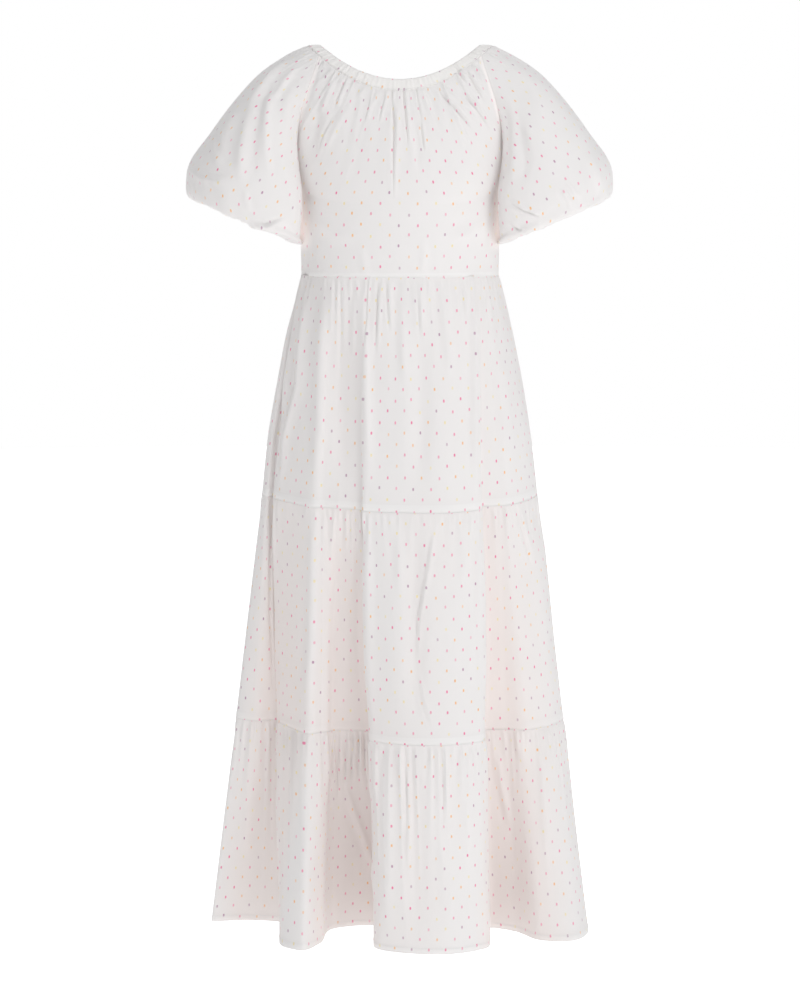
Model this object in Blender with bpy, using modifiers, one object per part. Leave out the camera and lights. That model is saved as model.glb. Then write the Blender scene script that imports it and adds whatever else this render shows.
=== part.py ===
"""A three-tier maxi dress with puffed raglan sleeves, filled out as it is worn.

Metres, +Z up. The front faces -Y, and the wearer's left is +X. The origin is the middle of the neck
opening at the height of the shoulders, where the wearer holds the dress up. Every piece of cloth is
a sheet of points worked out from the tables below, given its thickness by a Solidify modifier.
"""

import math

import bpy
import numpy as np

COLLECTION = "maxi_dress"

# Driving sizes of the cloth
WALL = 0.0012
SEAM_GAP = 0.0003
SLEEVE_STAND_OFF = 0.0021

# Neckline: the elastic casing runs from the neck edge to the casing's lower edge
NECK_HALF_WIDTH = 0.113
NECK_FRONT = 0.085
NECK_BACK = 0.078
NECK_DIP_FRONT = 0.050
NECK_DIP_BACK = 0.047
CASING_WIDTH = 0.017
CASING_SPREAD = 0.007
CASING_DROP = 0.0154
SHOULDER_DROP = 0.001
DIP_START = 0.1
DIP_POWER = 1.8
RAGLAN_ANGLE = math.radians(60)

# Bodice: underarm, side seam and waist
UNDERARM = (0.1445, 0.0, -0.196)
SIDE_MIDDLE = (0.1405, 0.0, -0.255)
WAIST_HALF_WIDTH = 0.1395
WAIST_FRONT = 0.108
WAIST_BACK = 0.092
WAIST_Z = -0.322
UNDERARM_ROW = 0.6

# Middle of each bodice panel, from the casing to the waist: height, then distance from the body's axis,
# at shares of the panel's length
PROFILE_SHARES = (0.0, 0.2, 0.45, 0.72, 1.0)
FRONT_PROFILE = ((-0.0664, 0.092), (-0.120, 0.110), (-0.190, 0.121), (-0.250, 0.118), (WAIST_Z, WAIST_FRONT))
BACK_PROFILE = ((-0.0634, 0.085), (-0.110, 0.101), (-0.180, 0.107), (-0.250, 0.100), (WAIST_Z, WAIST_BACK))

# How far round the body each row of a bodice panel reaches: share of the panel's length, then angle
PANEL_TURNS = ((0.0, RAGLAN_ANGLE), (0.3, math.radians(66)), (UNDERARM_ROW, math.pi / 2), (1.0, math.pi / 2))
SIDE_MIDDLE_ROW = 0.8

# Handles of the raglan seams, which run from the casing to the underarm
FRONT_RAGLAN = ((0.128, -0.088, -0.075), (0.160, -0.070, -0.140))
BACK_RAGLAN = ((0.130, 0.082, -0.070), (0.152, 0.068, -0.140))

# Sleeve rings: share of the length, outer point (x, z), inner point (x, z), half depth front to back,
# and how square the ring is on the side of the body
SLEEVE_RINGS = (
    (0.20, 0.1640, -0.0175, 0.1470, -0.2120, 0.083, 0.22),
    (0.42, 0.2060, -0.0480, 0.1456, -0.2340, 0.099, 0.30),
    (0.66, 0.2640, -0.1190, 0.1448, -0.2560, 0.107, 0.30),
    (0.84, 0.2990, -0.1800, 0.1448, -0.2700, 0.104, 0.25),
    (0.92, 0.2940, -0.2120, 0.1470, -0.2770, 0.096, 0.18),
    (0.96, 0.2760, -0.2150, 0.1620, -0.2700, 0.080, 0.08),
    (1.00, 0.2620, -0.2030, 0.1720, -0.2470, 0.0505, 0.0),
)
# How far a sleeve with a squareness of 0.3 comes round the body, in front of it and behind it
SLEEVE_WRAP = 0.010
CUFF_HALF = 0.0500
CUFF_HEIGHT = 0.012
CUFF_AXIS = (-0.439, 0.0, 0.898)

# Skirt: seam heights, and how far the seam sinks where the cloth stands forward
SEAM_HEIGHTS = (WAIST_Z, -0.634, -0.9595, -1.262)
SEAM_SINK = (0.0, 0.012, 0.006, 0.0)
SINK_REACH = 0.14
FLARE_EASE = 0.5

# Folds of the skirt, once round from the right side seam by way of the front, in metres:
# angle at the waist in degrees from the front, then x and y at the upper seam, lower seam and hem
FOLDS = (
    ("right side seam", -90, -0.197, 0.000, -0.237, 0.000, -0.275, 0.004),
    ("side panel", -84, -0.191, -0.018, -0.212, -0.018, -0.232, 0.010),
    ("side valley", -76, -0.178, -0.016, -0.181, -0.014, -0.176, 0.000),
    ("narrow fold, outer flank", -63, -0.156, -0.062, -0.158, -0.056, -0.159, -0.136),
    ("narrow fold, crest", -50, -0.128, -0.092, -0.134, -0.092, -0.138, -0.150),
    ("narrow fold, inner flank", -41, -0.106, -0.098, -0.110, -0.089, -0.116, -0.118),
    ("front valley, floor", -32, -0.080, -0.106, -0.090, -0.077, -0.096, -0.036),
    ("front valley, inner edge", -20, -0.053, -0.113, -0.042, -0.082, -0.035, -0.018),
    ("wide fold, right edge", -13, -0.040, -0.127, -0.032, -0.146, -0.027, -0.146),
    ("wide fold, right crest", -5, -0.012, -0.132, 0.000, -0.163, 0.006, -0.162),
    ("wide fold, left crest", 22, 0.070, -0.134, 0.078, -0.164, 0.085, -0.163),
    ("wide fold, left edge", 40, 0.103, -0.120, 0.110, -0.146, 0.119, -0.140),
    ("left valley", 48, 0.117, -0.092, 0.124, -0.074, 0.134, -0.032),
    ("left fold, inner flank", 55, 0.136, -0.086, 0.148, -0.071, 0.165, -0.050),
    ("left fold, crest", 63, 0.159, -0.074, 0.184, -0.072, 0.202, -0.098),
    ("left fold, outer flank", 73, 0.181, -0.044, 0.216, -0.046, 0.246, -0.100),
    ("left fold, edge", 82, 0.194, -0.012, 0.232, -0.016, 0.270, -0.056),
    ("left side seam", 90, 0.195, 0.014, 0.234, 0.012, 0.262, 0.004),
    ("back left side valley", 104, 0.186, 0.050, 0.214, 0.046, 0.229, 0.044),
    ("back left side fold", 121, 0.170, 0.094, 0.204, 0.104, 0.232, 0.122),
    ("back left valley", 136, 0.138, 0.104, 0.152, 0.100, 0.160, 0.084),
    ("back left fold, outer crest", 150, 0.099, 0.137, 0.113, 0.157, 0.126, 0.182),
    ("back left fold, inner crest", 163, 0.056, 0.145, 0.064, 0.160, 0.072, 0.178),
    ("back middle valley", 175, 0.019, 0.130, 0.022, 0.121, 0.028, 0.100),
    ("back right fold, inner crest", 188, -0.025, 0.149, -0.028, 0.169, -0.030, 0.188),
    ("back right fold, outer crest", 200, -0.065, 0.142, -0.075, 0.158, -0.082, 0.172),
    ("back right valley", 215, -0.108, 0.118, -0.116, 0.108, -0.124, 0.092),
    ("back right side fold, crest", 231, -0.150, 0.108, -0.173, 0.121, -0.194, 0.138),
    ("back right side fold, edge", 245, -0.180, 0.068, -0.212, 0.072, -0.240, 0.078),
    ("back right side valley", 258, -0.192, 0.029, -0.226, 0.028, -0.252, 0.036),
)

# Gathers: how many waves each panel has, their height, and the distances over which they rise and fade
FRONT_TIER_GATHERS = 17
BACK_TIER_GATHERS = 13
GATHER_HEIGHT = 0.0046
GATHER_RISE = 0.028
GATHER_FADE = 0.085
FRONT_NECK_GATHERS = 13
BACK_NECK_GATHERS = 11
NECK_GATHER_HEIGHT = 0.0036
NECK_GATHER_RISE = 0.09
NECK_GATHER_END = 0.62
SLEEVE_GATHERS = 10
SLEEVE_GATHER_HEIGHT = 0.0036
# Share of the sleeve's length, then height of the gathers there against the tallest
SLEEVE_GATHER_FADE = ((0.0, 0.0), (0.12, 1.0), (0.6, 0.35), (0.86, 1.0), (0.92, 1.0), (1.0, 0.3))
# Share of a sleeve ring from the shoulder to where the raglan seam starts
SHOULDER_SHARE = 0.125
POINTS_PER_GATHER = 4

# Unevenness of the gathers: waves of drift along a row and their size, then the swell of the heights,
# and the share of a row over which the gathers flatten at its ends
GATHER_DRIFT = ((3, 0.018), (7, 0.007))
SWELL_TURNS = (5, 2)
SWELL = 0.3
FLAT_END = 0.04

# Rows of points down each kind of piece, as shares of its length
TIER_ROWS = (0.0, 0.07, 0.17, 0.36, 0.66, 1.0)
BODICE_ROWS = (0.0, 0.05, 0.12, 0.22, 0.34, 0.47, UNDERARM_ROW, 0.74, 0.87, 1.0)
SLEEVE_ROWS = (0.0, 0.09, 0.2, 0.33, 0.5, 0.66, 0.8, 0.88, 0.92, 0.96, 1.0)
BAND_ROWS = (0.0, 0.5, 1.0)
CASING_COLUMNS = 72
CUFF_COLUMNS = 28

# Finish
CLOTH_COLOUR = (0.86, 0.83, 0.81, 1.0)
CASING_COLOUR = (0.88, 0.86, 0.84, 1.0)
CUFF_COLOUR = (0.84, 0.81, 0.79, 1.0)
CLOTH_ROUGHNESS = 0.85


def clear_scene():
    """Removes what a new Blender file holds."""
    for obj in list(bpy.data.objects):
        bpy.data.objects.remove(obj, do_unlink=True)


def smooth(knots, values, at):
    """Reads, at the given places, the smooth curve that passes through the values at the knots."""
    knots = np.asarray(knots, float)
    values = np.asarray(values, float)
    at = np.asarray(at, float)
    slopes = np.gradient(values, knots, axis=0)
    index = np.clip(np.searchsorted(knots, at, side="right") - 1, 0, len(knots) - 2)
    step = knots[index + 1] - knots[index]
    f = (at - knots[index]) / step
    shape = at.shape + (1,) * (values.ndim - 1)
    f = f.reshape(shape)
    step = step.reshape(shape)
    start = (1 + 2 * f) * (1 - f) ** 2 * values[index] + f * (1 - f) ** 2 * step * slopes[index]
    end = f**2 * (3 - 2 * f) * values[index + 1] + f**2 * (f - 1) * step * slopes[index + 1]
    return start + end


def smooth_round(knots, values, at):
    """The same for a closed curve, whose knots run once round from 0 and whose period is 1."""
    knots = np.concatenate([knots[-3:] - 1, knots, knots[:3] + 1])
    values = np.concatenate([values[-3:], values, values[:3]])
    return smooth(knots, values, np.asarray(at) % 1.0)


def normals_of(grid, closed):
    """Unit normals of a grid of points, whose columns close on themselves when closed is true."""
    if closed:
        wide = np.concatenate([grid[:, -1:], grid, grid[:, :1]], axis=1)
        along = np.gradient(wide, axis=1)[:, 1:-1]
    else:
        along = np.gradient(grid, axis=1)
    down = np.gradient(grid, axis=0)
    return unit(np.cross(along, down))


def unit(vectors):
    """The vectors at length 1."""
    return vectors / np.linalg.norm(vectors, axis=-1, keepdims=True)


def seam_inset(edge, inner, beyond):
    """How far to draw an edge back so that two walls that meet there at an angle keep the seam gap."""
    facing = np.sum(unit(inner - edge) * unit(beyond - edge), axis=-1)
    half_turn = (math.pi - np.arccos(np.clip(facing, -1.0, 0.6))) / 2
    return (SEAM_GAP / 2 + WALL / 2 * np.sin(half_turn)) / np.cos(half_turn)


def inset(grid, first_row=0.0, last_row=0.0, first_column=0.0, last_column=0.0):
    """Draws the edges of a grid back by the given distances, towards its own inside."""
    grid = grid.copy()
    for edge, inner, amount in ((0, 1, first_row), (-1, -2, last_row)):
        grid[edge] += unit(grid[inner] - grid[edge]) * np.reshape(amount, (-1, 1))
    for edge, inner, amount in ((0, 1, first_column), (-1, -2, last_column)):
        grid[:, edge] += unit(grid[:, inner] - grid[:, edge]) * np.reshape(amount, (-1, 1))
    return grid


def uneven_phase(share, waves):
    """Phase of a row of gathers, whose waves are of unlike width, at a share of the row from 0 to 1."""
    drift = sum(size * np.sin(2 * math.pi * turns * share) for turns, size in GATHER_DRIFT)
    return 2 * math.pi * waves * (share + drift)


def gather_columns(waves):
    """Shares of a row at which the crests, troughs and middles of its gathers lie."""
    fine = np.linspace(0.0, 1.0, 4001)
    wanted = np.linspace(0.0, 2 * math.pi * waves, POINTS_PER_GATHER * waves + 1)
    return np.interp(wanted, uneven_phase(fine, waves), fine)


def uneven_height(share):
    """Height of a gather at a share of its row, against the tallest."""
    swell = np.sin(2 * math.pi * SWELL_TURNS[0] * share + 1) * np.sin(2 * math.pi * SWELL_TURNS[1] * share)
    return 1 - SWELL + SWELL * swell


def flat_at_ends(share):
    """Fades the gathers of a row out at its ends."""
    return np.clip(np.minimum(share, 1 - share) / FLAT_END, 0.0, 1.0)


def neck_dip(angle, depth):
    """How far the neckline has sunk at an angle from the front (or the back), towards a given depth."""
    towards = np.clip((np.abs(np.cos(angle)) - DIP_START) / (1 - DIP_START), 0.0, None)
    return depth * towards**DIP_POWER


def neck_points(angle, below):
    """Points round the casing: angle from the front, and share of the way down from the neck edge."""
    front = np.cos(angle) > 0
    depth = np.where(front, NECK_FRONT, NECK_BACK) + CASING_SPREAD * below
    sink = np.where(front, NECK_DIP_FRONT, NECK_DIP_BACK) + CASING_DROP * below
    x = (NECK_HALF_WIDTH + CASING_WIDTH * below) * np.sin(angle)
    y = -depth * np.cos(angle)
    z = -SHOULDER_DROP * below - neck_dip(angle, sink)
    return np.stack([x, y, z], axis=-1)


def raglan(start, handles, share):
    """Points of a raglan seam, a cubic curve from the casing to the underarm, at shares of its length."""
    ends = [np.asarray(p, float) for p in (start, *handles, UNDERARM)]
    t = np.asarray(share, float)[..., None]
    weights = ((1 - t) ** 3, 3 * t * (1 - t) ** 2, 3 * t**2 * (1 - t), t**3)
    return sum(w * p for w, p in zip(weights, ends))


def bodice_edge(rows, front):
    """Left edge of a bodice panel: the raglan seam down to the underarm, then the side seam."""
    corner = RAGLAN_ANGLE if front else math.pi - RAGLAN_ANGLE
    start = neck_points(np.array(corner), 1.0)
    share = np.clip(rows / UNDERARM_ROW, 0.0, 1.0)
    upper = raglan(start, FRONT_RAGLAN if front else BACK_RAGLAN, share)
    side = (UNDERARM, SIDE_MIDDLE, (WAIST_HALF_WIDTH, 0.0, WAIST_Z))
    lower = smooth([UNDERARM_ROW, SIDE_MIDDLE_ROW, 1.0], side, np.clip(rows, UNDERARM_ROW, 1.0))
    return np.where((rows < UNDERARM_ROW)[:, None], upper, lower)


def bodice_grid(front):
    """Points of the front or back bodice, from its right edge to its left edge and downwards."""
    waves = FRONT_NECK_GATHERS if front else BACK_NECK_GATHERS
    profile = FRONT_PROFILE if front else BACK_PROFILE
    way = -1.0 if front else 1.0
    rows = np.array(BODICE_ROWS)
    shares = gather_columns(waves)
    across = 2 * shares - 1
    edge = bodice_edge(rows, front)
    middle_z = smooth(PROFILE_SHARES, [z for z, _ in profile], rows)
    middle_y = way * smooth(PROFILE_SHARES, [y for _, y in profile], rows)
    turn = smooth([row for row, _ in PANEL_TURNS], [angle for _, angle in PANEL_TURNS], rows)
    angle = across[None, :] * turn[:, None]
    x = edge[:, :1] * np.sin(angle) / np.sin(turn)[:, None]
    bow = (np.cos(angle) - np.cos(turn)[:, None]) / (1 - np.cos(turn))[:, None]
    y = edge[:, 1:2] + (middle_y[:, None] - edge[:, 1:2]) * bow
    depth = NECK_DIP_FRONT if front else NECK_DIP_BACK
    top = neck_dip(across * RAGLAN_ANGLE, depth + CASING_DROP)
    rise = (top[len(top) // 2] - top) / (top[len(top) // 2] - top[0])
    z = middle_z[:, None] + (edge[:, 2:] - middle_z[:, None]) * rise[None, :]
    grid = np.stack([x, y, z], axis=-1)
    strength = np.clip(rows / NECK_GATHER_RISE, 0, 1) * np.clip(1 - rows / NECK_GATHER_END, 0, 1)
    wave = np.cos(uneven_phase(shares, waves)) * uneven_height(shares) * flat_at_ends(shares)
    lift = NECK_GATHER_HEIGHT * strength[:, None] * wave[None, :]
    return grid + way_out(grid, way) * lift[..., None]


def way_out(grid, way):
    """Normals of a panel, turned to the side away from the wearer."""
    normal = normals_of(grid, closed=False)
    outward = np.sign(np.mean(normal[..., 1])) * way
    return normal * outward


def sleeve_loop(turns):
    """Ring where a left sleeve is sewn on, at turns of 0 at the shoulder, a quarter at the front."""
    points = []
    for turn in turns:
        back = turn > 0.5
        share = 1 - turn if back else turn
        if share < SHOULDER_SHARE:
            swing = share / SHOULDER_SHARE * (math.pi / 2 - RAGLAN_ANGLE)
            angle = math.pi / 2 + swing if back else math.pi / 2 - swing
            points.append(neck_points(np.array(angle), 1.0))
            continue
        corner = math.pi - RAGLAN_ANGLE if back else RAGLAN_ANGLE
        start = neck_points(np.array(corner), 1.0)
        handles = BACK_RAGLAN if back else FRONT_RAGLAN
        down_seam = (share - SHOULDER_SHARE) / (0.5 - SHOULDER_SHARE)
        points.append(raglan(start, handles, np.array(down_seam)))
    return np.array(points)


def squared(reach, depth, square):
    """Turns the half of a circle that lies towards the body into a squarer form."""
    inner = reach < 0
    squarer_reach = -np.abs(reach) ** (1 - 0.7 * square)
    squarer_depth = np.sign(depth) * np.abs(depth) ** (1 - square)
    return np.where(inner, squarer_reach, reach), np.where(inner, squarer_depth, depth)


def sleeve_grid():
    """Points of the left sleeve, round it and from the sewn-on ring to the turned-in cuff edge."""
    count = POINTS_PER_GATHER * SLEEVE_GATHERS
    turns = np.arange(count) / count
    around = 2 * math.pi * turns
    stand_off = np.stack([np.ones(count), 0 * turns, 0 * turns], axis=-1) * SLEEVE_STAND_OFF
    rings = [sleeve_loop(turns) + stand_off]
    for _, outer_x, outer_z, inner_x, inner_z, half, square in SLEEVE_RINGS:
        middle = np.array([(outer_x + inner_x) / 2, 0.0, (outer_z + inner_z) / 2])
        arm = np.array([(outer_x - inner_x) / 2, 0.0, (outer_z - inner_z) / 2])
        reach, depth = squared(np.cos(around), np.sin(around), square)
        ring = middle + reach[:, None] * arm
        ring[:, 0] -= SLEEVE_WRAP * square / 0.3 * np.where(np.cos(around) < 0, np.sin(2 * around) ** 2, 0.0)
        ring[:, 1] -= half * depth
        rings.append(ring)
    knots = [0.0] + [row[0] for row in SLEEVE_RINGS]
    rows = np.array(SLEEVE_ROWS)
    grid = smooth(knots, rings, rows)
    strength = np.interp(rows, *zip(*SLEEVE_GATHER_FADE))
    wave = np.cos(2 * math.pi * SLEEVE_GATHERS * turns) * uneven_height(turns)
    clear_of_body = 0.5 + 0.5 * np.cos(around)
    lift = SLEEVE_GATHER_HEIGHT * strength[:, None] * (wave * clear_of_body)[None, :]
    return grid + normals_of(grid, closed=True) * lift[..., None]


def cuff_grid():
    """Points of the left cuff, a short band that stands up inside the sleeve's turned-in end."""
    _, outer_x, outer_z, inner_x, inner_z, half, _ = SLEEVE_RINGS[-1]
    around = 2 * math.pi * np.arange(CUFF_COLUMNS) / CUFF_COLUMNS
    arm = np.array([outer_x - inner_x, 0.0, outer_z - inner_z]) / 2
    middle = np.array([outer_x + inner_x, 0.0, outer_z + inner_z]) / 2
    ring = middle + np.cos(around)[:, None] * arm / np.linalg.norm(arm) * CUFF_HALF
    ring[:, 1] -= half * np.sin(around)
    axis = np.array(CUFF_AXIS)
    seat = WALL + 2 * SEAM_GAP
    return np.stack([ring + axis * (seat + CUFF_HEIGHT * share) for share in BAND_ROWS])


def skirt_rings(shares):
    """Plan of the skirt at the waist, the two seams and the hem, at shares of the way round."""
    angles = np.radians([row[1] for row in FOLDS])
    depth = np.where(np.cos(angles) > 0, WAIST_FRONT, WAIST_BACK)
    waist = np.stack([WAIST_HALF_WIDTH * np.sin(angles), -depth * np.cos(angles)], axis=-1)
    levels = [waist] + [np.array([row[k : k + 2] for row in FOLDS]) for k in (2, 4, 6)]
    knots = fold_knots()
    return [smooth_round(knots, level, shares) for level in levels]


def fold_knots():
    """Share of the hem's length at which each fold of the table lies."""
    hem = np.array([row[6:8] for row in FOLDS])
    lengths = np.linalg.norm(np.roll(hem, -1, axis=0) - hem, axis=1)
    return np.concatenate([[0.0], np.cumsum(lengths)[:-1]]) / lengths.sum()


def tier_grid(tier, shares, gathers):
    """Points of one tier, at shares of the way round, with the given wave of gathers on it."""
    upper, lower = skirt_rings(shares)[tier : tier + 2]
    rows = np.array(TIER_ROWS)
    ease = rows + (FLARE_EASE * rows * (1 - rows) if tier == 0 else 0.0)
    plan = upper[None] + (lower - upper)[None] * ease[:, None, None]
    ends = []
    for level, ring in ((tier, upper), (tier + 1, lower)):
        forward = np.clip(-ring[:, 1] / SINK_REACH, 0.0, 1.0)
        ends.append(SEAM_HEIGHTS[level] - SEAM_SINK[level] * forward)
    z = ends[0][None] + (ends[1] - ends[0])[None] * rows[:, None]
    grid = np.concatenate([plan, z[..., None]], axis=2)
    fall = rows * (SEAM_HEIGHTS[tier] - SEAM_HEIGHTS[tier + 1])
    strength = np.clip(fall / GATHER_RISE, 0, 1) * np.exp(-np.clip(fall - GATHER_RISE, 0, None) / GATHER_FADE)
    if tier < 2:
        strength *= 1 - rows**3
    lift = GATHER_HEIGHT * strength[:, None] * gathers[None, :]
    return grid - normals_of(grid, closed=True) * lift[..., None]


def skirt_grids(tier):
    """Points of the front and back panel of one tier, cut apart at the side seams."""
    side = fold_knots()[[row[0] for row in FOLDS].index("left side seam")]
    front = gather_columns(FRONT_TIER_GATHERS)
    back = gather_columns(BACK_TIER_GATHERS)
    shares = np.concatenate([side * front, side + (1 - side) * back[1:-1]])
    gathers = np.concatenate([
        np.cos(uneven_phase(front, FRONT_TIER_GATHERS)) * flat_at_ends(front),
        np.cos(uneven_phase(back[1:-1], BACK_TIER_GATHERS)) * flat_at_ends(back[1:-1]),
    ])
    grid = tier_grid(tier, shares, gathers * uneven_height((shares + 0.37 * tier) % 1.0))
    split = len(front)
    front_grid = grid[:, :split]
    back_grid = np.concatenate([grid[:, split - 1 :], grid[:, :1]], axis=1)
    return front_grid, back_grid


def cloth_material(name, colour):
    """A plain matt cloth finish."""
    material = bpy.data.materials.new(name)
    material.use_nodes = True
    shader = material.node_tree.nodes["Principled BSDF"]
    shader.inputs["Base Color"].default_value = colour
    shader.inputs["Roughness"].default_value = CLOTH_ROUGHNESS
    shader.inputs["Metallic"].default_value = 0.0
    return material


def add_cloth(name, grid, colour, collection, closed=False):
    """Makes a grid of points a sheet of cloth with its outer side outwards and a wall of even thickness."""
    rows, columns = grid.shape[:2]
    points = grid.reshape(-1, 3)
    last = columns if closed else columns - 1
    faces = []
    for row in range(rows - 1):
        for column in range(last):
            right = (column + 1) % columns
            here = row * columns
            below = here + columns
            faces.append((here + column, below + column, below + right, here + right))
    mesh = bpy.data.meshes.new(name)
    mesh.from_pydata(points.tolist(), [], faces)
    mesh.update()
    obj = bpy.data.objects.new(name, mesh)
    collection.objects.link(obj)
    mesh.materials.append(cloth_material(f"{name} cloth", colour))
    mesh.shade_smooth()
    wall = obj.modifiers.new("cloth thickness", "SOLIDIFY")
    wall.thickness = WALL
    wall.offset = 0.0
    wall.use_even_offset = True
    wall.thickness_clamp = 0.0
    return obj


def mirrored(grid):
    """The same piece on the wearer's other side, with its columns turned so that it still faces outwards."""
    flipped = grid * np.array([-1.0, 1.0, 1.0])
    return flipped[:, ::-1]


def build_neck(collection):
    """The gathered elastic casing round the neck opening."""
    angles = 2 * math.pi * np.arange(CASING_COLUMNS) / CASING_COLUMNS
    grid = np.stack([neck_points(angles, share) for share in BAND_ROWS])
    grid = inset(grid, last_row=SEAM_GAP)
    add_cloth("neck_casing", grid, CASING_COLOUR, collection, closed=True)


def build_bodice(collection):
    """The front and back bodice panels."""
    half = SEAM_GAP / 2
    edges = {"first_row": half, "last_row": half, "first_column": half, "last_column": half}
    add_cloth("bodice_front", inset(bodice_grid(front=True), **edges), CLOTH_COLOUR, collection)
    back = bodice_grid(front=False)[:, ::-1]
    add_cloth("bodice_back", inset(back, **edges), CLOTH_COLOUR, collection)


def build_sleeves(collection):
    """Both puffed sleeves, and the elastic cuffs inside their turned-in ends."""
    sleeve = sleeve_grid()[:, ::-1]
    cuff = cuff_grid()[:, ::-1]
    add_cloth("sleeve_left", sleeve, CLOTH_COLOUR, collection, closed=True)
    add_cloth("sleeve_right", mirrored(sleeve), CLOTH_COLOUR, collection, closed=True)
    add_cloth("cuff_left", cuff, CUFF_COLOUR, collection, closed=True)
    add_cloth("cuff_right", mirrored(cuff), CUFF_COLOUR, collection, closed=True)


def build_skirt(collection):
    """The three gathered tiers, each of a front and a back panel."""
    tiers = [skirt_grids(tier) for tier in range(3)]
    for tier, panels in enumerate(tiers):
        for side, name in enumerate(("front", "back")):
            grid, other = panels[side], panels[1 - side]
            top = SEAM_GAP / 2
            bottom = 0.0
            if tier > 0:
                top = seam_inset(grid[0], grid[1], tiers[tier - 1][side][-2])
            if tier < 2:
                bottom = seam_inset(grid[-1], grid[-2], tiers[tier + 1][side][1])
            first = seam_inset(grid[:, 0], grid[:, 1], other[:, -2])
            last = seam_inset(grid[:, -1], grid[:, -2], other[:, 1])
            trimmed = inset(grid, top, bottom, first, last)
            add_cloth(f"skirt_tier{tier + 1}_{name}", trimmed, CLOTH_COLOUR, collection)


def main():
    """Builds the dress."""
    clear_scene()
    collection = bpy.data.collections.new(COLLECTION)
    bpy.context.scene.collection.children.link(collection)
    build_neck(collection)
    build_bodice(collection)
    build_sleeves(collection)
    build_skirt(collection)


main()
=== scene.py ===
"""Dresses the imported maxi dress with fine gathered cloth, seams, stitches, light and a camera.

Metres, in the part's own frame: +Z up, the front faces -Y, the wearer's left is +X, and the origin is
the middle of the neck opening at shoulder height. Every shell of cloth follows the same named curves as
the solid that it stands for, and adds the gathers, puckers and creases that a solid is too coarse for.
"""

from __future__ import annotations

import logging
import math
from dataclasses import dataclass, field
from enum import Enum

import bpy
import numpy as np
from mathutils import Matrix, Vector

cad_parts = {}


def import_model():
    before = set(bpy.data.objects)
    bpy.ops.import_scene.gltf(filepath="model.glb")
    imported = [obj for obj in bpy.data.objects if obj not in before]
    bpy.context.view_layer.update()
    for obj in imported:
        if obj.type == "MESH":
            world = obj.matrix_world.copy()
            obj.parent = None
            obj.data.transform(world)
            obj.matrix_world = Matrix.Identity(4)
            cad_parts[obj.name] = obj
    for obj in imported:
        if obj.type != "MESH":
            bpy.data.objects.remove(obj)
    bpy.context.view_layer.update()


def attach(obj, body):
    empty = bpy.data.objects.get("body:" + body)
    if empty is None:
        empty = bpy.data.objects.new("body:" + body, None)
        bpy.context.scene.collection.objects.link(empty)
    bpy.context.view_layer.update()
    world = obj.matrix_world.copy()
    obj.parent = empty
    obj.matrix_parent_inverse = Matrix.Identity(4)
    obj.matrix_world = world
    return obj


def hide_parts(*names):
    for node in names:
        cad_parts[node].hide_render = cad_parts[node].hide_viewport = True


LOG = logging.getLogger("maxi_dress")

BODY = "root"
WALL = 0.0009
TUCK_UP = 0.0022
TUCK_IN = 0.0006
STITCH_STAND_OFF = 0.0001

Colour = tuple[float, float, float, float]
Point = tuple[float, float]
Spot = tuple[float, float, float]
Socket = bpy.types.NodeSocket


class Side(Enum):
    """Side of the dress that a panel is on, by the sign of its depth."""

    FRONT = -1.0
    BACK = 1.0


def unit(vectors: np.ndarray) -> np.ndarray:
    """The vectors at length 1."""
    return vectors / np.linalg.norm(vectors, axis=-1, keepdims=True)


def smooth(knots: np.ndarray, values: np.ndarray, at: np.ndarray) -> np.ndarray:
    """Reads the smooth curve that meets each value at its knot.

    Args:
        knots: Rising places along the curve.
        values: One value or point for each knot.
        at: Places to read.

    Returns:
        A value or point for each place.
    """
    knots = np.asarray(knots, float)
    values = np.asarray(values, float)
    at = np.asarray(at, float)
    slopes = np.gradient(values, knots, axis=0)
    index = np.clip(np.searchsorted(knots, at, side="right") - 1, 0, len(knots) - 2)
    step = knots[index + 1] - knots[index]
    f = (at - knots[index]) / step
    shape = at.shape + (1,) * (values.ndim - 1)
    f = f.reshape(shape)
    step = step.reshape(shape)
    start = (1 + 2 * f) * (1 - f) ** 2 * values[index] + f * (1 - f) ** 2 * step * slopes[index]
    end = f**2 * (3 - 2 * f) * values[index + 1] + f**2 * (f - 1) * step * slopes[index + 1]
    return start + end


def smooth_round(knots: np.ndarray, values: np.ndarray, at: np.ndarray) -> np.ndarray:
    """The same as smooth for a closed curve whose knots run once round from 0 to 1."""
    knots = np.concatenate([knots[-3:] - 1, knots, knots[:3] + 1])
    values = np.concatenate([values[-3:], values, values[:3]])
    return smooth(knots, values, np.asarray(at) % 1.0)


def normals_of(grid: np.ndarray, closed: bool) -> np.ndarray:
    """Unit normals of a grid of points.

    Args:
        grid: Points by row, column and axis.
        closed: Whether the columns close on themselves.

    Returns:
        A normal for each point.
    """
    if closed:
        wide = np.concatenate([grid[:, -1:], grid, grid[:, :1]], axis=1)
        along = np.gradient(wide, axis=1)[:, 1:-1]
    else:
        along = np.gradient(grid, axis=1)
    return unit(np.cross(along, np.gradient(grid, axis=0)))


def run_length(points: np.ndarray) -> np.ndarray:
    """Distance along a line of points, from 0 at the first."""
    steps = np.linalg.norm(np.diff(points, axis=0), axis=-1)
    return np.concatenate([[0.0], np.cumsum(steps)])


def flat_cloth(grid: np.ndarray, across: np.ndarray) -> np.ndarray:
    """Place of each point on the flat cloth, whose lower edge is cut straight.

    Args:
        grid: Points by row, column and axis.
        across: Place of each column across the cloth.

    Returns:
        Places across and down the cloth, by row and column.
    """
    steps = np.linalg.norm(np.diff(grid, axis=0), axis=-1)
    down = np.concatenate([np.zeros((1, grid.shape[1])), np.cumsum(steps, axis=0)])
    down += down[-1].max() - down[-1]
    return np.stack([np.broadcast_to(across[None, :], down.shape), down], axis=-1)


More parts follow.
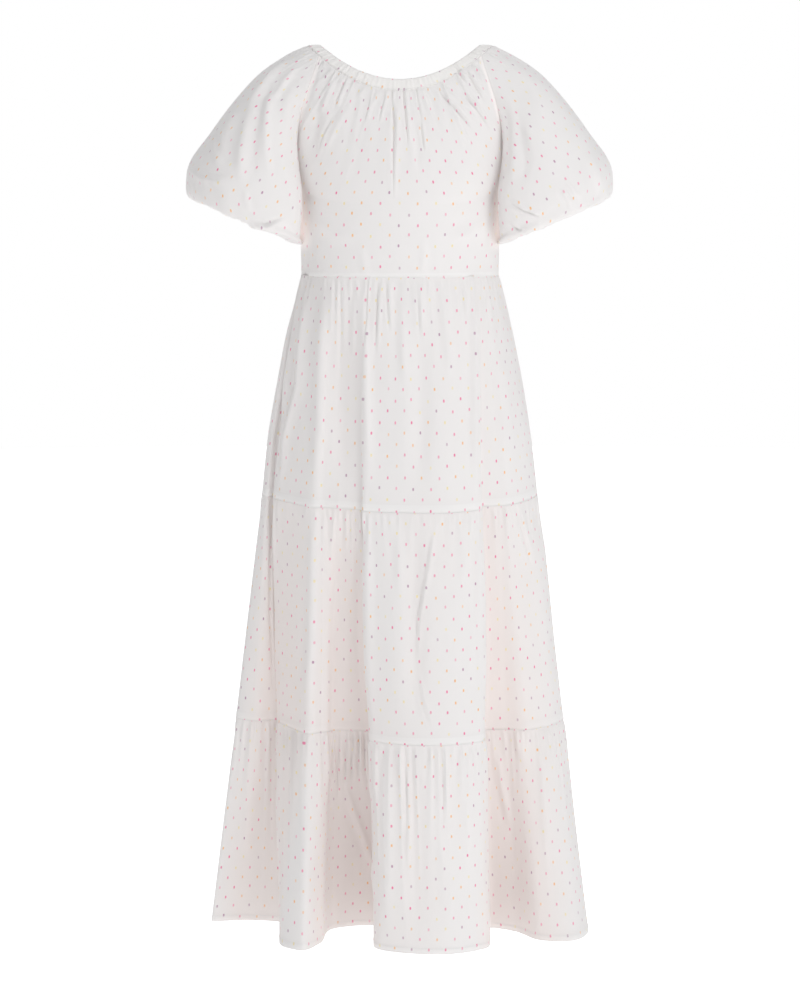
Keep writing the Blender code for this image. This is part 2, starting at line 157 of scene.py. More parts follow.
def ease(value: np.ndarray) -> np.ndarray:
    """Smooth rise from 0 to 1."""
    value = np.clip(value, 0.0, 1.0)
    return value * value * (3 - 2 * value)


@dataclass(frozen=True)
class Waves:
    """The part's own coarse gathers: uneven waves round a row.

    Attributes:
        drift: Turns and size of each slow drift of the waves along the row.
        swell_turns: Turns of the two slow swells of the waves' height.
        swell: How much the height swells.
        flat_end: Share of the row over which the waves flatten at each end.
    """

    drift: tuple[Point, ...] = ((3, 0.018), (7, 0.007))
    swell_turns: tuple[int, int] = (5, 2)
    swell: float = 0.3
    flat_end: float = 0.04

    def phase(self, share: np.ndarray, count: int) -> np.ndarray:
        """Phase of a row of count waves at shares of the row."""
        drift = sum(size * np.sin(2 * math.pi * turns * share) for turns, size in self.drift)
        return 2 * math.pi * count * (share + drift)

    def height(self, share: np.ndarray) -> np.ndarray:
        """Height of a wave at shares of the row, against the tallest."""
        first, second = self.swell_turns
        swell = np.sin(2 * math.pi * first * share + 1) * np.sin(2 * math.pi * second * share)
        return 1 - self.swell + self.swell * swell

    def ends(self, share: np.ndarray) -> np.ndarray:
        """Fades the waves out at the ends of the row."""
        return np.clip(np.minimum(share, 1 - share) / self.flat_end, 0.0, 1.0)


@dataclass(frozen=True)
class Gathers:
    """Fine uneven gathers that fall from a seam, each with its own place, height and length.

    Attributes:
        count: How many gathers the row holds.
        height: Height of the tallest, in metres.
        length: Length of a middling one, in metres.
        rise: Distance over which they rise from the seam, in metres.
        fan: How much they lean outwards at the ends of the row.
        seed: Seed of their unevenness.
        stray: How far a gather may stray from its even place, against its room.
        lowest: Height of the lowest, against the tallest.
        lengths: Share of the middling length and how often it is met, for each kind of gather.
        lean: How far a gather may lean, against its room.
        spread: Half the width of a gather, against its room.
        widen: How much wider it gets over its own length.
        fall_off: How suddenly it ends.
    """

    count: int
    height: float
    length: float
    rise: float = 0.009
    fan: float = 0.0
    seed: int = 1
    stray: float = 0.34
    lowest: float = 0.3
    lengths: tuple[Point, ...] = ((0.35, 0.3), (0.6, 0.3), (1.0, 0.27), (1.9, 0.13))
    lean: float = 0.28
    spread: float = 0.27
    widen: float = 0.45
    fall_off: float = 1.3

    def lift(self, share: np.ndarray, fall: np.ndarray) -> np.ndarray:
        """Height of the gathers over the plain cloth.

        Args:
            share: Share of the row at each column, from 0 to 1.
            fall: Distance from the seam at each row, in metres.

        Returns:
            Heights by row and column.
        """
        rng = np.random.default_rng(self.seed)
        kinds, chances = zip(*self.lengths)
        stray = rng.uniform(-self.stray, self.stray, self.count)
        place = (np.arange(self.count) + 0.5 + stray) / self.count
        height = rng.uniform(self.lowest, 1.0, self.count) * self.height
        length = self.length * rng.choice(kinds, self.count, p=chances)
        lean = rng.uniform(-self.lean, self.lean, self.count) / self.count + self.fan * (place - 0.5)
        total = np.zeros((len(fall), len(share)))
        for centre, tall, long, slant in zip(place, height, length, lean):
            down = fall / long
            middle = centre + slant * down
            half = self.spread / self.count * (1 + self.widen * down)
            fade = ease(fall / self.rise) * np.exp(-(down**self.fall_off))
            across = (share[None, :] - middle[:, None]) / half[:, None]
            total += tall * fade[:, None] * np.exp(-(across**2))
        return total - total.mean(axis=1, keepdims=True)


class Fold(Enum):
    """Kind of crease that is listed one by one.

    SOFT is a rounded ridge, or a trough when its height is negative, and PLEAT a sharp narrow valley
    with a rolled lip beside it. Each is a sum of bumps across the crease, given by their place, half
    width and height, against the width and height of the crease.
    """

    SOFT = ((0.0, 1.0, 1.0), (1.9, 1.2, -0.3))
    PLEAT = ((-1.0, 1.0, 0.9), (1.3, 1.1, 0.35), (0.0, 0.42, -1.0))


@dataclass(frozen=True)
class Crease:
    """One listed crease, with its sizes in millimetres.

    Attributes:
        kind: Shape of the crease.
        width: Distance over which it falls away to each side.
        height: Height over the plain cloth.
        path: Points of the crease as seen from the front, as x and z.
        fade_in: Share of its length over which it rises.
        fade_out: Share of its length over which it ends.
    """

    kind: Fold
    width: float
    height: float
    path: tuple[Point, ...]
    fade_in: float = 0.3
    fade_out: float = 0.35

    def lift(self, x: np.ndarray, z: np.ndarray) -> np.ndarray:
        """Height of the crease at places seen from the front, in metres."""
        nearest = np.full(x.shape, np.inf)
        signed = np.zeros(x.shape)
        along = np.zeros(x.shape)
        points = np.array(self.path) / 1000
        travelled = run_length(points)
        for start, end, before, after in zip(points, points[1:], travelled, travelled[1:]):
            way = end - start
            t = np.clip(((x - start[0]) * way[0] + (z - start[1]) * way[1]) / way.dot(way), 0.0, 1.0)
            off_x = x - start[0] - t * way[0]
            off_z = z - start[1] - t * way[1]
            distance = np.hypot(off_x, off_z)
            closer = distance < nearest
            side = np.sign(off_x * way[1] - off_z * way[0])
            nearest = np.where(closer, distance, nearest)
            signed = np.where(closer, side * distance, signed)
            along = np.where(closer, (before + t * (after - before)) / travelled[-1], along)
        taper = ease(along / self.fade_in) * ease((1 - along) / self.fade_out)
        return self.height / 1000 * taper * self.section(signed * 1000 / self.width)

    def section(self, off: np.ndarray) -> np.ndarray:
        """Height across the crease, against its height, at distances counted in its widths."""
        bumps = self.kind.value
        return sum(height * np.exp(-(((off - place) / half) ** 2)) for place, half, height in bumps)


def soft(width: float, height: float, *path: Point) -> Crease:
    """A soft crease, in millimetres."""
    return Crease(Fold.SOFT, width, height, path)


def pleat(width: float, height: float, *path: Point) -> Crease:
    """A sharp crease, in millimetres."""
    return Crease(Fold.PLEAT, width, height, path)


def crease_lift(creases: tuple[Crease, ...], grid: np.ndarray) -> np.ndarray:
    """Sum of the creases over a grid of points."""
    return sum((crease.lift(grid[..., 0], grid[..., 2]) for crease in creases), np.zeros(grid.shape[:2]))


@dataclass
class Sheet:
    """One sewn piece of cloth as a grid of points.

    Attributes:
        node: Name of the solid that it stands for.
        grid: Points by row and column, outer side outwards.
        cloth: Place of each point on the flat cloth, in metres, by row and column.
        closed: Whether it is a tube.
        wall: Thickness of the cloth.
        valleys: How deep each point lies in a fold or gap, from 0 to 1, where the piece has any; it sets
            the painted shade and painted light there.
    """

    node: str
    grid: np.ndarray
    cloth: np.ndarray
    closed: bool = False
    wall: float = WALL
    valleys: np.ndarray | None = None

    def faces(self) -> list[tuple[int, int, int, int]]:
        """Corner numbers of each face."""
        rows, columns = self.grid.shape[:2]
        right = (np.arange(columns) + 1) % columns
        last = columns if self.closed else columns - 1
        found = []
        for row in range(rows - 1):
            here = row * columns
            below = here + columns
            found += [(here + c, below + c, below + right[c], here + right[c]) for c in range(last)]
        return found

    def build(self, material: bpy.types.Material) -> bpy.types.Object:
        """Makes the piece, gives it its thickness and hands it to the frame.

        Args:
            material: Finish of the cloth.

        Returns:
            The finished piece, at the origin.
        """
        mesh = bpy.data.meshes.new(self.node)
        mesh.from_pydata(self.grid.reshape(-1, 3).tolist(), [], self.faces())
        self.add_cloth_places(mesh)
        mesh.materials.append(material)
        mesh.shade_smooth()
        draft = bpy.data.objects.new(f"{self.node}_draft", mesh)
        bpy.context.scene.collection.objects.link(draft)
        thickness = draft.modifiers.new("cloth thickness", "SOLIDIFY")
        thickness.thickness = self.wall
        thickness.offset = 0.0
        piece = bake(draft, f"cloth_{self.node}")
        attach(piece, BODY)
        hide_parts(self.node)
        return piece

    def add_cloth_places(self, mesh: bpy.types.Mesh) -> None:
        """Stores the flat cloth as a UV map, and the height over the lower edge and the valleys."""
        layer = mesh.uv_layers.new(name="cloth")
        corner = np.empty(len(mesh.loops), int)
        mesh.loops.foreach_get("vertex_index", corner)
        places = self.cloth.reshape(-1, 2)[corner].copy()
        if self.closed:
            columns = self.grid.shape[1]
            first = corner.reshape(-1, 4) % columns
            wraps = (first.max(axis=1) == columns - 1) & (first.min(axis=1) == 0)
            over = (wraps[:, None] & (first == 0)).reshape(-1)
            widths = self.cloth[:, 1, 0] - self.cloth[:, 0, 0]
            whole = self.cloth[:, -1, 0] + widths
            places[over, 0] = whole[corner[over] // columns]
        layer.data.foreach_set("uv", places.astype(np.float32).ravel())
        heights = self.cloth[-1:, :, 1] - self.cloth[..., 1]
        for name, values in (("from_lower_edge", heights), ("valley", self.valleys)):
            if values is not None:
                stored = mesh.attributes.new(name, "FLOAT", "POINT")
                stored.data.foreach_set("value", values.astype(np.float32).ravel())

    def flat_size(self) -> Point:
        """Width and length of the flat cloth."""
        width, length = np.ptp(self.cloth.reshape(-1, 2), axis=0)
        return float(width), float(length)

    def area(self) -> float:
        """Area of the cloth, measured on the grid."""
        across = self.grid[:-1, 1:] - self.grid[:-1, :-1]
        down = self.grid[1:, :-1] - self.grid[:-1, :-1]
        return float(np.linalg.norm(np.cross(down, across), axis=-1).sum())


def bake(draft: bpy.types.Object, name: str) -> bpy.types.Object:
    """Makes a draft object with its modifiers into one finished mesh object.

    Args:
        draft: Object with live modifiers, which is removed.
        name: Name of the finished piece.

    Returns:
        A plain mesh object at the origin.
    """
    depsgraph = bpy.context.evaluated_depsgraph_get()
    mesh = bpy.data.meshes.new_from_object(draft.evaluated_get(depsgraph), depsgraph=depsgraph)
    mesh.name = name
    bpy.data.objects.remove(draft, do_unlink=True)
    piece = bpy.data.objects.new(name, mesh)
    bpy.context.scene.collection.objects.link(piece)
    return piece


class NodeSketch:
    """Short hand for the nodes of one material."""

    def __init__(self, name: str) -> None:
        """Starts a material with a Principled shader."""
        self.material = bpy.data.materials.new(name)
        self.material.use_nodes = True
        self.tree = self.material.node_tree
        self.shader = self.tree.nodes["Principled BSDF"]

    def node(self, kind: str, **settings: object) -> bpy.types.Node:
        """Adds a node and sets its properties."""
        made = self.tree.nodes.new(kind)
        for key, value in settings.items():
            setattr(made, key, value)
        return made

    def plug(self, socket: Socket, value: object) -> None:
        """Links a socket to an output, or gives it a constant."""
        if isinstance(value, Socket):
            self.tree.links.new(value, socket)
        else:
            socket.default_value = value

    def dress(self, values: dict[str, object]) -> None:
        """Links or sets the shader's own sockets by name."""
        for name, value in values.items():
            self.plug(self.shader.inputs[name], value)

    def math(self, operation: str, *values: object, clamp: bool = False) -> Socket:
        """Result of a Math node."""
        made = self.node("ShaderNodeMath", operation=operation, use_clamp=clamp)
        for socket, value in zip(made.inputs, values):
            self.plug(socket, value)
        return made.outputs[0]

    def mix(self, factor: object, first: object, second: object) -> Socket:
        """Blend of two colours."""
        made = self.node("ShaderNodeMix", data_type="RGBA")
        self.plug(made.inputs["Factor"], factor)
        self.plug(made.inputs[6], first)
        self.plug(made.inputs[7], second)
        return made.outputs[2]

    def parts(self, vector: Socket) -> tuple[Socket, ...]:
        """The three parts of a vector or colour."""
        made = self.node("ShaderNodeSeparateXYZ")
        self.plug(made.inputs[0], vector)
        return tuple(made.outputs)

    def place(self) -> Socket:
        """Place in the object's own frame."""
        return self.node("ShaderNodeTexCoord").outputs["Object"]

    def cloth_place(self) -> Socket:
        """Place on the flat cloth."""
        return self.node("ShaderNodeUVMap", uv_map="cloth").outputs[0]

    def attribute(self, name: str) -> Socket:
        """Number that the piece stores at its points."""
        return self.node("ShaderNodeAttribute", attribute_name=name).outputs["Fac"]

    def noise(self, place: Socket, scale: float, detail: float = 2.0) -> Socket:
        """Cloudy noise."""
        made = self.node("ShaderNodeTexNoise")
        self.plug(made.inputs["Vector"], place)
        self.plug(made.inputs["Scale"], scale)
        self.plug(made.inputs["Detail"], detail)
        return made.outputs[0]

    def bump(self, height: Socket, strength: float, distance: float) -> Socket:
        """Normal of a fine relief."""
        made = self.node("ShaderNodeBump")
        self.plug(made.inputs["Strength"], strength)
        self.plug(made.inputs["Distance"], distance)
        self.plug(made.inputs["Height"], height)
        return made.outputs[0]


@dataclass(frozen=True)
class Flecks:
    """Short flecks of coloured thread woven into the voile, in staggered columns.

    Attributes:
        across: Distance between two columns on the flat cloth.
        down: Distance between two flecks of a column.
        half_width: Half the width of a fleck.
        half_height: Half its height.
        faint: Strength of the palest fleck.
        stray: How far a fleck strays across and down, against its room.
        squareness: Power of its outline, 2 for an ellipse and more for a squarer form.
        edge: Sharpness of its edge.
        colours: Share of the flecks from which each thread colour is used, and the colour.
    """

    across: float = 0.0123
    down: float = 0.0295
    half_width: float = 0.0015
    half_height: float = 0.0024
    faint: float = 0.55
    stray: Point = (0.16, 0.10)
    squareness: float = 3.0
    edge: float = 1.3
    colours: tuple[tuple[float, Colour], ...] = (
        (0.0, (0.87, 0.24, 0.40, 1.0)),
        (0.32, (0.90, 0.40, 0.52, 1.0)),
        (0.54, (0.95, 0.55, 0.26, 1.0)),
        (0.74, (0.92, 0.78, 0.42, 1.0)),
        (0.86, (0.54, 0.33, 0.44, 1.0)),
    )

    def draw(self, sketch: NodeSketch) -> tuple[Socket, Socket]:
        """Draws the flecks by the flat cloth's own places.

        Args:
            sketch: Material to draw in.

        Returns:
            The flecks' mask and their colour.
        """
        place_across, place_down, _ = sketch.parts(sketch.cloth_place())
        across = sketch.math("DIVIDE", place_across, self.across)
        column = sketch.math("FLOOR", across)
        stagger = sketch.math("MULTIPLY", sketch.math("FLOORED_MODULO", column, 2.0), 0.5)
        down = sketch.math("ADD", sketch.math("DIVIDE", place_down, self.down), stagger)
        cell = sketch.node("ShaderNodeCombineXYZ")
        sketch.plug(cell.inputs[0], column)
        sketch.plug(cell.inputs[1], sketch.math("FLOOR", down))
        noise = sketch.node("ShaderNodeTexWhiteNoise", noise_dimensions="3D")
        sketch.plug(noise.inputs["Vector"], cell.outputs[0])
        chances = sketch.parts(noise.outputs["Color"])
        off_across = self.offset(sketch, across, chances[0], self.stray[0], self.half_width / self.across)
        off_down = self.offset(sketch, down, chances[1], self.stray[1], self.half_height / self.down)
        inside = sketch.math("SUBTRACT", 1.0, sketch.math("ADD", off_across, off_down))
        soft_edge = sketch.math("MULTIPLY", inside, self.edge, clamp=True)
        strength = sketch.math("MULTIPLY_ADD", chances[0], 1.0 - self.faint, self.faint)
        return sketch.math("MULTIPLY", soft_edge, strength), self.colour(sketch, chances[2])

    def offset(
        self, sketch: NodeSketch, place: Socket, chance: Socket, stray: float, half: float
    ) -> Socket:
        """Distance from the middle of a fleck, which strays by chance, so that 1 is at its edge.

        Args:
            sketch: Material to draw in.
            place: Place on the cloth, counted in cells.
            chance: Chance of this cell.
            stray: How far the fleck strays, against its cell.
            half: Half the fleck's size, against its cell.

        Returns:
            The distance, raised to the power of the outline.
        """
        centred = sketch.math("SUBTRACT", sketch.math("FRACT", place), 0.5)
        moved = sketch.math("MULTIPLY_ADD", sketch.math("SUBTRACT", chance, 0.5), stray, centred)
        off = sketch.math("DIVIDE", sketch.math("ABSOLUTE", moved), half)
        return sketch.math("POWER", off, self.squareness)

    def colour(self, sketch: NodeSketch, chance: Socket) -> Socket:
        """Thread colour of a fleck, picked by chance."""
        ramp = sketch.node("ShaderNodeValToRGB")
        ramp.color_ramp.interpolation = "CONSTANT"
        stops = ramp.color_ramp.elements
        while len(stops) < len(self.colours):
            stops.new(1.0)
        for stop, (position, colour) in zip(stops, self.colours):
            stop.position = position
            stop.color = colour
        sketch.plug(ramp.inputs[0], chance)
        return ramp.outputs[0]


@dataclass(frozen=True)
class Voile:
    """Finish of the light cotton voile.

    Attributes:
        colour: Colour of one layer.
        cloud: Colour towards which it clouds over, by a share and at a scale.
        folded: Colour where the cloth lies double.
        painted_shade_and_light_colour: Painted shade, warmer and a little darker, deep in a fold or gap;
            also the colour of the painted light in the gaps beside the sleeves.
        painted_shade_strength: How far the deepest place takes that painted shade.
        painted_light_strength: Strength of the painted light that the cloth gives off where it lies
            deepest.
        band: Height of the doubled seam allowance above the lower edge.
        band_edge: Sharpness of its edge.
        roughness: Roughness of the cloth.
        sheen: Strength and roughness of the soft sheen of its fibres.
        shine: Strength of its mirror light.
        thread: Distance between two threads of the weave.
        crepe: Scale of its fine unevenness.
        reliefs: Height of the threads, the crepe and the flecks, against the relief's depth.
        relief: Depth of the whole relief, in metres.
        flecks: Woven-in flecks.
    """

    colour: Colour = (0.885, 0.85, 0.835, 1.0)
    cloud: tuple[Colour, float, float] = ((0.80, 0.75, 0.74, 1.0), 0.14, 9.0)
    folded: Colour = (0.90, 0.87, 0.855, 1.0)
    # Painted shade: a warmer, darker colour put deep in folds and gaps, where shade falls
    painted_shade_and_light_colour: Colour = (0.895, 0.815, 0.785, 1.0)
    painted_shade_strength: float = 0.8
    painted_light_strength: float = 0.0
    band: float = 0.0
    band_edge: float = 900.0
    roughness: float = 0.88
    sheen: Point = (0.25, 0.6)
    shine: float = 0.15
    thread: float = 0.0007
    crepe: float = 90.0
    reliefs: tuple[float, float, float] = (0.25, 3.0, 0.6)
    relief: float = 0.00035
    flecks: Flecks = field(default_factory=Flecks)

    def material(self, name: str) -> bpy.types.Material:
        """Makes the cloth's material.

        Args:
            name: Name of the material.

        Returns:
            A material that reads the piece's own cloth map.
        """
        sketch = NodeSketch(name)
        mask, thread_colour = self.flecks.draw(sketch)
        sketch.dress({
            "Base Color": sketch.mix(mask, self.ground(sketch), thread_colour),
            "Roughness": self.roughness,
            "Sheen Weight": self.sheen[0],
            "Sheen Roughness": self.sheen[1],
            "Specular IOR Level": self.shine,
            "Normal": self.weave(sketch, mask),
        })
        # Painted light: the cloth gives off light where it lies deepest, in the narrow gaps beside the
        # sleeves, where no lamp lights it
        if self.painted_light_strength > 0.0:
            painted_light_amount = sketch.math("MULTIPLY", sketch.attribute("valley"), self.painted_light_strength)
            sketch.dress({"Emission Color": self.painted_shade_and_light_colour, "Emission Strength": painted_light_amount})
        return sketch.material

    def ground(self, sketch: NodeSketch) -> Socket:
        """Colour of the plain cloth: cloudy, lighter where it lies double, and with painted shade, warmer
        and a little darker, deep in folds and gaps.
        """
        clouded, share, scale = self.cloud
        amount = sketch.math("MULTIPLY", sketch.noise(sketch.place(), scale, 3.0), share)
        plain = sketch.mix(amount, self.colour, clouded)
        if self.band <= 0.0:
            return plain
        inside = sketch.math("SUBTRACT", self.band, sketch.attribute("from_lower_edge"))
        doubled = sketch.math("MULTIPLY", inside, self.band_edge, clamp=True)
        banded = sketch.mix(doubled, plain, self.folded)
        # Painted shade: the deeper a point lies in a fold or gap, the more it takes the warmer, darker
        # colour
        deep = sketch.math("MULTIPLY", sketch.attribute("valley"), self.painted_shade_strength)
        return sketch.mix(deep, banded, self.painted_shade_and_light_colour)

    def weave(self, sketch: NodeSketch, mask: Socket) -> Socket:
        """Normal of the crossed threads, the crepe of worn voile and the raised flecks."""
        thread_relief, crepe_relief, fleck_relief = self.reliefs
        place = sketch.cloth_place()
        across, down, _ = sketch.parts(place)
        turn = 2 * math.pi / self.thread
        warp = sketch.math("SINE", sketch.math("MULTIPLY", across, turn))
        weft = sketch.math("SINE", sketch.math("MULTIPLY", down, turn))
        threads = sketch.math("MULTIPLY", sketch.math("MULTIPLY", warp, weft), thread_relief)
        low = sketch.math("MULTIPLY_ADD", sketch.noise(place, self.crepe, 3.0), crepe_relief, threads)
        return sketch.bump(sketch.math("MULTIPLY_ADD", mask, fleck_relief, low), 0.5, self.relief)


@dataclass(frozen=True)
class Thread:
    """Finish of the sewing thread: its colours, roughness, sheen, and the scale and depth of its twist."""

    colour: Colour = (0.86, 0.84, 0.83, 1.0)
    shade: Colour = (0.74, 0.71, 0.70, 1.0)
    shading: float = 0.35
    roughness: float = 0.6
    sheen: float = 0.15
    twist: float = 2400.0
    relief: float = 0.00005

    def material(self, name: str) -> bpy.types.Material:
        """Makes the thread's material, with a fine twist in its colour and relief."""
        sketch = NodeSketch(name)
        twist = sketch.noise(sketch.place(), self.twist)
        amount = sketch.math("MULTIPLY", twist, self.shading)
        sketch.dress({
            "Base Color": sketch.mix(amount, self.colour, self.shade),
            "Roughness": self.roughness,
            "Sheen Weight": self.sheen,
            "Normal": sketch.bump(twist, 1.0, self.relief),
        })
        return sketch.material


@dataclass(frozen=True)
class Neckline:
    """Elastic casing round the neck opening, with one ring of points for each row.

    The neck edge is an oval that sinks in front and behind, and the casing spreads and drops from it.
    """

    half_width: float = 0.113
    front: float = 0.085
    back: float = 0.078
    dip_front: float = 0.050
    dip_back: float = 0.047
    casing_width: float = 0.017
    casing_spread: float = 0.007
    casing_drop: float = 0.0154
    shoulder_drop: float = 0.001
    dip_start: float = 0.1
    dip_power: float = 1.8
    columns: int = 640
    rows: int = 9
    ruffles: Gathers = Gathers(118, 0.0013, 0.2, rise=0.003, seed=5)
    ruffle_start: float = 0.001
    puff: float = 0.0005
    puff_roundness: float = 0.7
    crease_share: float = 0.6
    cut_length: float = 0.018

    def dip(self, angle: np.ndarray, depth: np.ndarray) -> np.ndarray:
        """How far the neckline has sunk at an angle from the front or back."""
        towards = np.clip((np.abs(np.cos(angle)) - self.dip_start) / (1 - self.dip_start), 0.0, None)
        return depth * towards**self.dip_power

    def points(self, angle: np.ndarray, below: float) -> np.ndarray:
        """Points round the casing at a share of its height below the neck edge."""
        front = np.cos(angle) > 0
        depth = np.where(front, self.front, self.back) + self.casing_spread * below
        sink = np.where(front, self.dip_front, self.dip_back) + self.casing_drop * below
        x = (self.half_width + self.casing_width * below) * np.sin(angle)
        z = -self.shoulder_drop * below - self.dip(angle, sink)
        return np.stack([x, -depth * np.cos(angle), z], axis=-1)

    def sheet(self, creases: tuple[Crease, ...]) -> Sheet:
        """The finely ruffled casing, with the bodice's creases running up over its front."""
        angles = 2 * math.pi * np.arange(self.columns) / self.columns
        shares = np.linspace(0.0, 1.0, self.rows)
        grid = np.stack([self.points(angles, share) for share in shares])
        puff = self.puff * np.sin(math.pi * shares) ** self.puff_roundness
        fall = self.ruffle_start + shares * self.casing_width
        lift = puff[:, None] + self.ruffles.lift(angles / (2 * math.pi), fall)
        lift += np.where(grid[..., 1] < 0, self.crease_share * crease_lift(creases, grid), 0.0)
        outward = normals_of(grid, closed=True)
        outward *= np.sign(np.mean(np.sum(outward * grid * [1, 1, 0], axis=-1)))
        grid = grid + outward * lift[..., None]
        length = run_length(np.concatenate([grid[-1], grid[-1, :1]]))[:-1]
        cloth = np.stack(np.broadcast_arrays(length[None, :], (shares * self.cut_length)[:, None]), axis=-1)
        return Sheet("neck_casing", grid, cloth, closed=True)


RAGLAN_ANGLE = math.radians(60)
UNDERARM = (0.1445, 0.0, -0.196)
WAIST_Z = -0.322
WAIST_HALF_WIDTH = 0.1395
WAIST_DEPTH = {Side.FRONT: 0.108, Side.BACK: 0.092}
RAGLAN_HANDLES = {
    Side.FRONT: ((0.128, -0.088, -0.075), (0.160, -0.070, -0.140)),
    Side.BACK: ((0.130, 0.082, -0.070), (0.152, 0.068, -0.140)),
}


def raglan(neck: Neckline, side: Side, share: np.ndarray) -> np.ndarray:
    """Points of a raglan seam from the casing to the underarm.

    Args:
        neck: Neckline that it starts from.
        side: Front or back seam.
        share: Shares of its length.

    Returns:
        A point for each share.
    """
    corner = RAGLAN_ANGLE if side is Side.FRONT else math.pi - RAGLAN_ANGLE
    start = neck.points(np.array(corner), 1.0)
    ends = [np.asarray(p, float) for p in (start, *RAGLAN_HANDLES[side], UNDERARM)]
    t = np.asarray(share, float)[..., None]
    weights = ((1 - t) ** 3, 3 * t * (1 - t) ** 2, 3 * t**2 * (1 - t), t**3)
    return sum(w * p for w, p in zip(weights, ends))


@dataclass(frozen=True)
class Panel:
    """What sets one bodice panel apart from the other.

    Attributes:
        profile: Height and depth of the panel's middle, from the casing to the waist.
        columns: Columns of points.
        rows: Rows of points.
        waves: How many of the part's own coarse gathers it has.
        gathers: Fine gathers under the casing.
        puckers: Fine gathers over the waist seam.
        creases: Listed creases on the panel and on the casing over it.
    """

    profile: tuple[Point, ...]
    columns: int
    rows: int
    waves: int
    gathers: Gathers
    puckers: Gathers
    creases: tuple[Crease, ...]


@dataclass(frozen=True)
class Bodice:
    """Front and back bodice panels, gathered into the casing."""

    neck: Neckline
    underarm_row: float = 0.6
    side_middle_row: float = 0.8
    side_middle: Spot = (0.1405, 0.0, -0.255)
    profile_shares: tuple[float, ...] = (0.0, 0.2, 0.45, 0.72, 1.0)
    # Share of the length, and the angle from the middle of the panel to its edge there
    turn_rows: tuple[float, ...] = (0.0, 0.3, 0.6, 1.0)
    turns: tuple[float, ...] = (RAGLAN_ANGLE, math.radians(66), math.pi / 2, math.pi / 2)
    length: float = 0.26
    row_bunching: float = 1.15
    widest_row: float = 0.55
    coarse_height: float = 0.0009
    coarse_rise: float = 0.09
    coarse_end: float = 0.62
    # Narrow gap beside each sleeve, where the cloth gets painted light and painted shade
    gap_start: float = -0.12
    gap_widens: float = 0.08
    gap_reach: float = 0.020
    gap_end: float = -0.292
    gap_fade: float = 0.03
    front: Panel = Panel(
        profile=((-0.0664, 0.092), (-0.120, 0.110), (-0.190, 0.121), (-0.250, 0.118), (WAIST_Z, 0.108)),
        columns=460,
        rows=74,
        waves=13,
        gathers=Gathers(48, 0.0028, 0.036, rise=0.005, fan=0.25, seed=11),
        puckers=Gathers(30, 0.0008, 0.014, rise=0.003, seed=13),
        creases=(
            pleat(3.4, 2.4, (-12, -46), (-11, -80), (-8, -110), (-9, -150), (-10, -225)),
            pleat(3.2, 2.3, (5, -46), (5, -75), (8, -105), (11, -150)),
            pleat(3.0, 2.0, (20, -50), (24, -78), (30, -112)),
            pleat(2.6, 1.8, (28, -104), (30, -124), (33, -152)),
            soft(4.0, 2.0, (-3, -60), (-2, -100), (0, -170)),
            soft(5.0, -2.0, (18, -95), (24, -130), (26, -185)),
            pleat(3.6, 3.0, (44, -54), (58, -72), (80, -96), (104, -122)),
            pleat(3.4, 2.8, (72, -24), (82, -42), (94, -58)),
            pleat(3.4, 3.0, (90, -34), (102, -56), (118, -80)),
            pleat(3.4, 3.2, (86, -70), (106, -92), (124, -118)),
            soft(6.0, 2.6, (106, -34), (118, -54), (132, -86)),
            soft(5.0, 2.2, (60, -60), (84, -82), (112, -104)),
            pleat(3.4, 2.4, (-72, -44), (-82, -66), (-92, -92)),
            soft(5.0, 2.2, (-70, -86), (-86, -112), (-108, -158)),
            pleat(2.8, 1.7, (-18, -66), (-24, -86), (-31, -112)),
            pleat(2.8, 1.5, (-40, -72), (-44, -90), (-50, -112)),
            soft(8.0, -3.6, (-106, -84), (-118, -118), (-124, -170)),
            pleat(3.0, 2.0, (-92, -100), (-104, -122), (-114, -150)),
            soft(4.0, 2.2, (-88, -46), (-100, -72), (-112, -104)),
            soft(9.0, 2.0, (-120, -240), (-90, -262), (-52, -270)),
            soft(9.0, 2.0, (124, -236), (96, -262), (60, -272)),
            soft(5.0, 1.5, (30, -322), (33, -290), (30, -262)),
            soft(5.5, 1.5, (-48, -322), (-50, -296), (-58, -270)),
        ),
    )
    back: Panel = Panel(
        profile=((-0.0634, 0.085), (-0.110, 0.101), (-0.180, 0.107), (-0.250, 0.100), (WAIST_Z, 0.092)),
        columns=250,
        rows=50,
        waves=11,
        gathers=Gathers(38, 0.0028, 0.036, rise=0.005, fan=0.25, seed=12),
        puckers=Gathers(26, 0.0008, 0.014, rise=0.003, seed=13),
        creases=(
            pleat(3.6, 2.4, (12, -56), (10, -90), (12, -170)),
            pleat(3.4, 2.2, (-22, -56), (-24, -100), (-30, -150)),
            pleat(3.6, 2.6, (48, -52), (60, -76), (78, -120)),
            pleat(3.6, 2.8, (-60, -50), (-78, -74), (-100, -112)),
            soft(6.0, 2.4, (84, -44), (104, -72), (120, -110)),
            soft(10.0, 2.2, (-120, -236), (-84, -262), (-40, -268)),
            soft(10.0, 2.2, (122, -240), (90, -266), (52, -274)),
            soft(6.0, 1.8, (0, -322), (4, -290), (-4, -250)),
        ),
    )

    def panel(self, side: Side) -> Panel:
        """Panel of a side."""
        return self.front if side is Side.FRONT else self.back

    def edge(self, rows: np.ndarray, side: Side) -> np.ndarray:
        """Left edge of a panel: the raglan seam, then the side seam."""
        upper = raglan(self.neck, side, np.clip(rows / self.underarm_row, 0.0, 1.0))
        knots = (self.underarm_row, self.side_middle_row, 1.0)
        ends = (UNDERARM, self.side_middle, (WAIST_HALF_WIDTH, 0.0, WAIST_Z))
        lower = smooth(knots, ends, np.clip(rows, self.underarm_row, 1.0))
        return np.where((rows < self.underarm_row)[:, None], upper, lower)

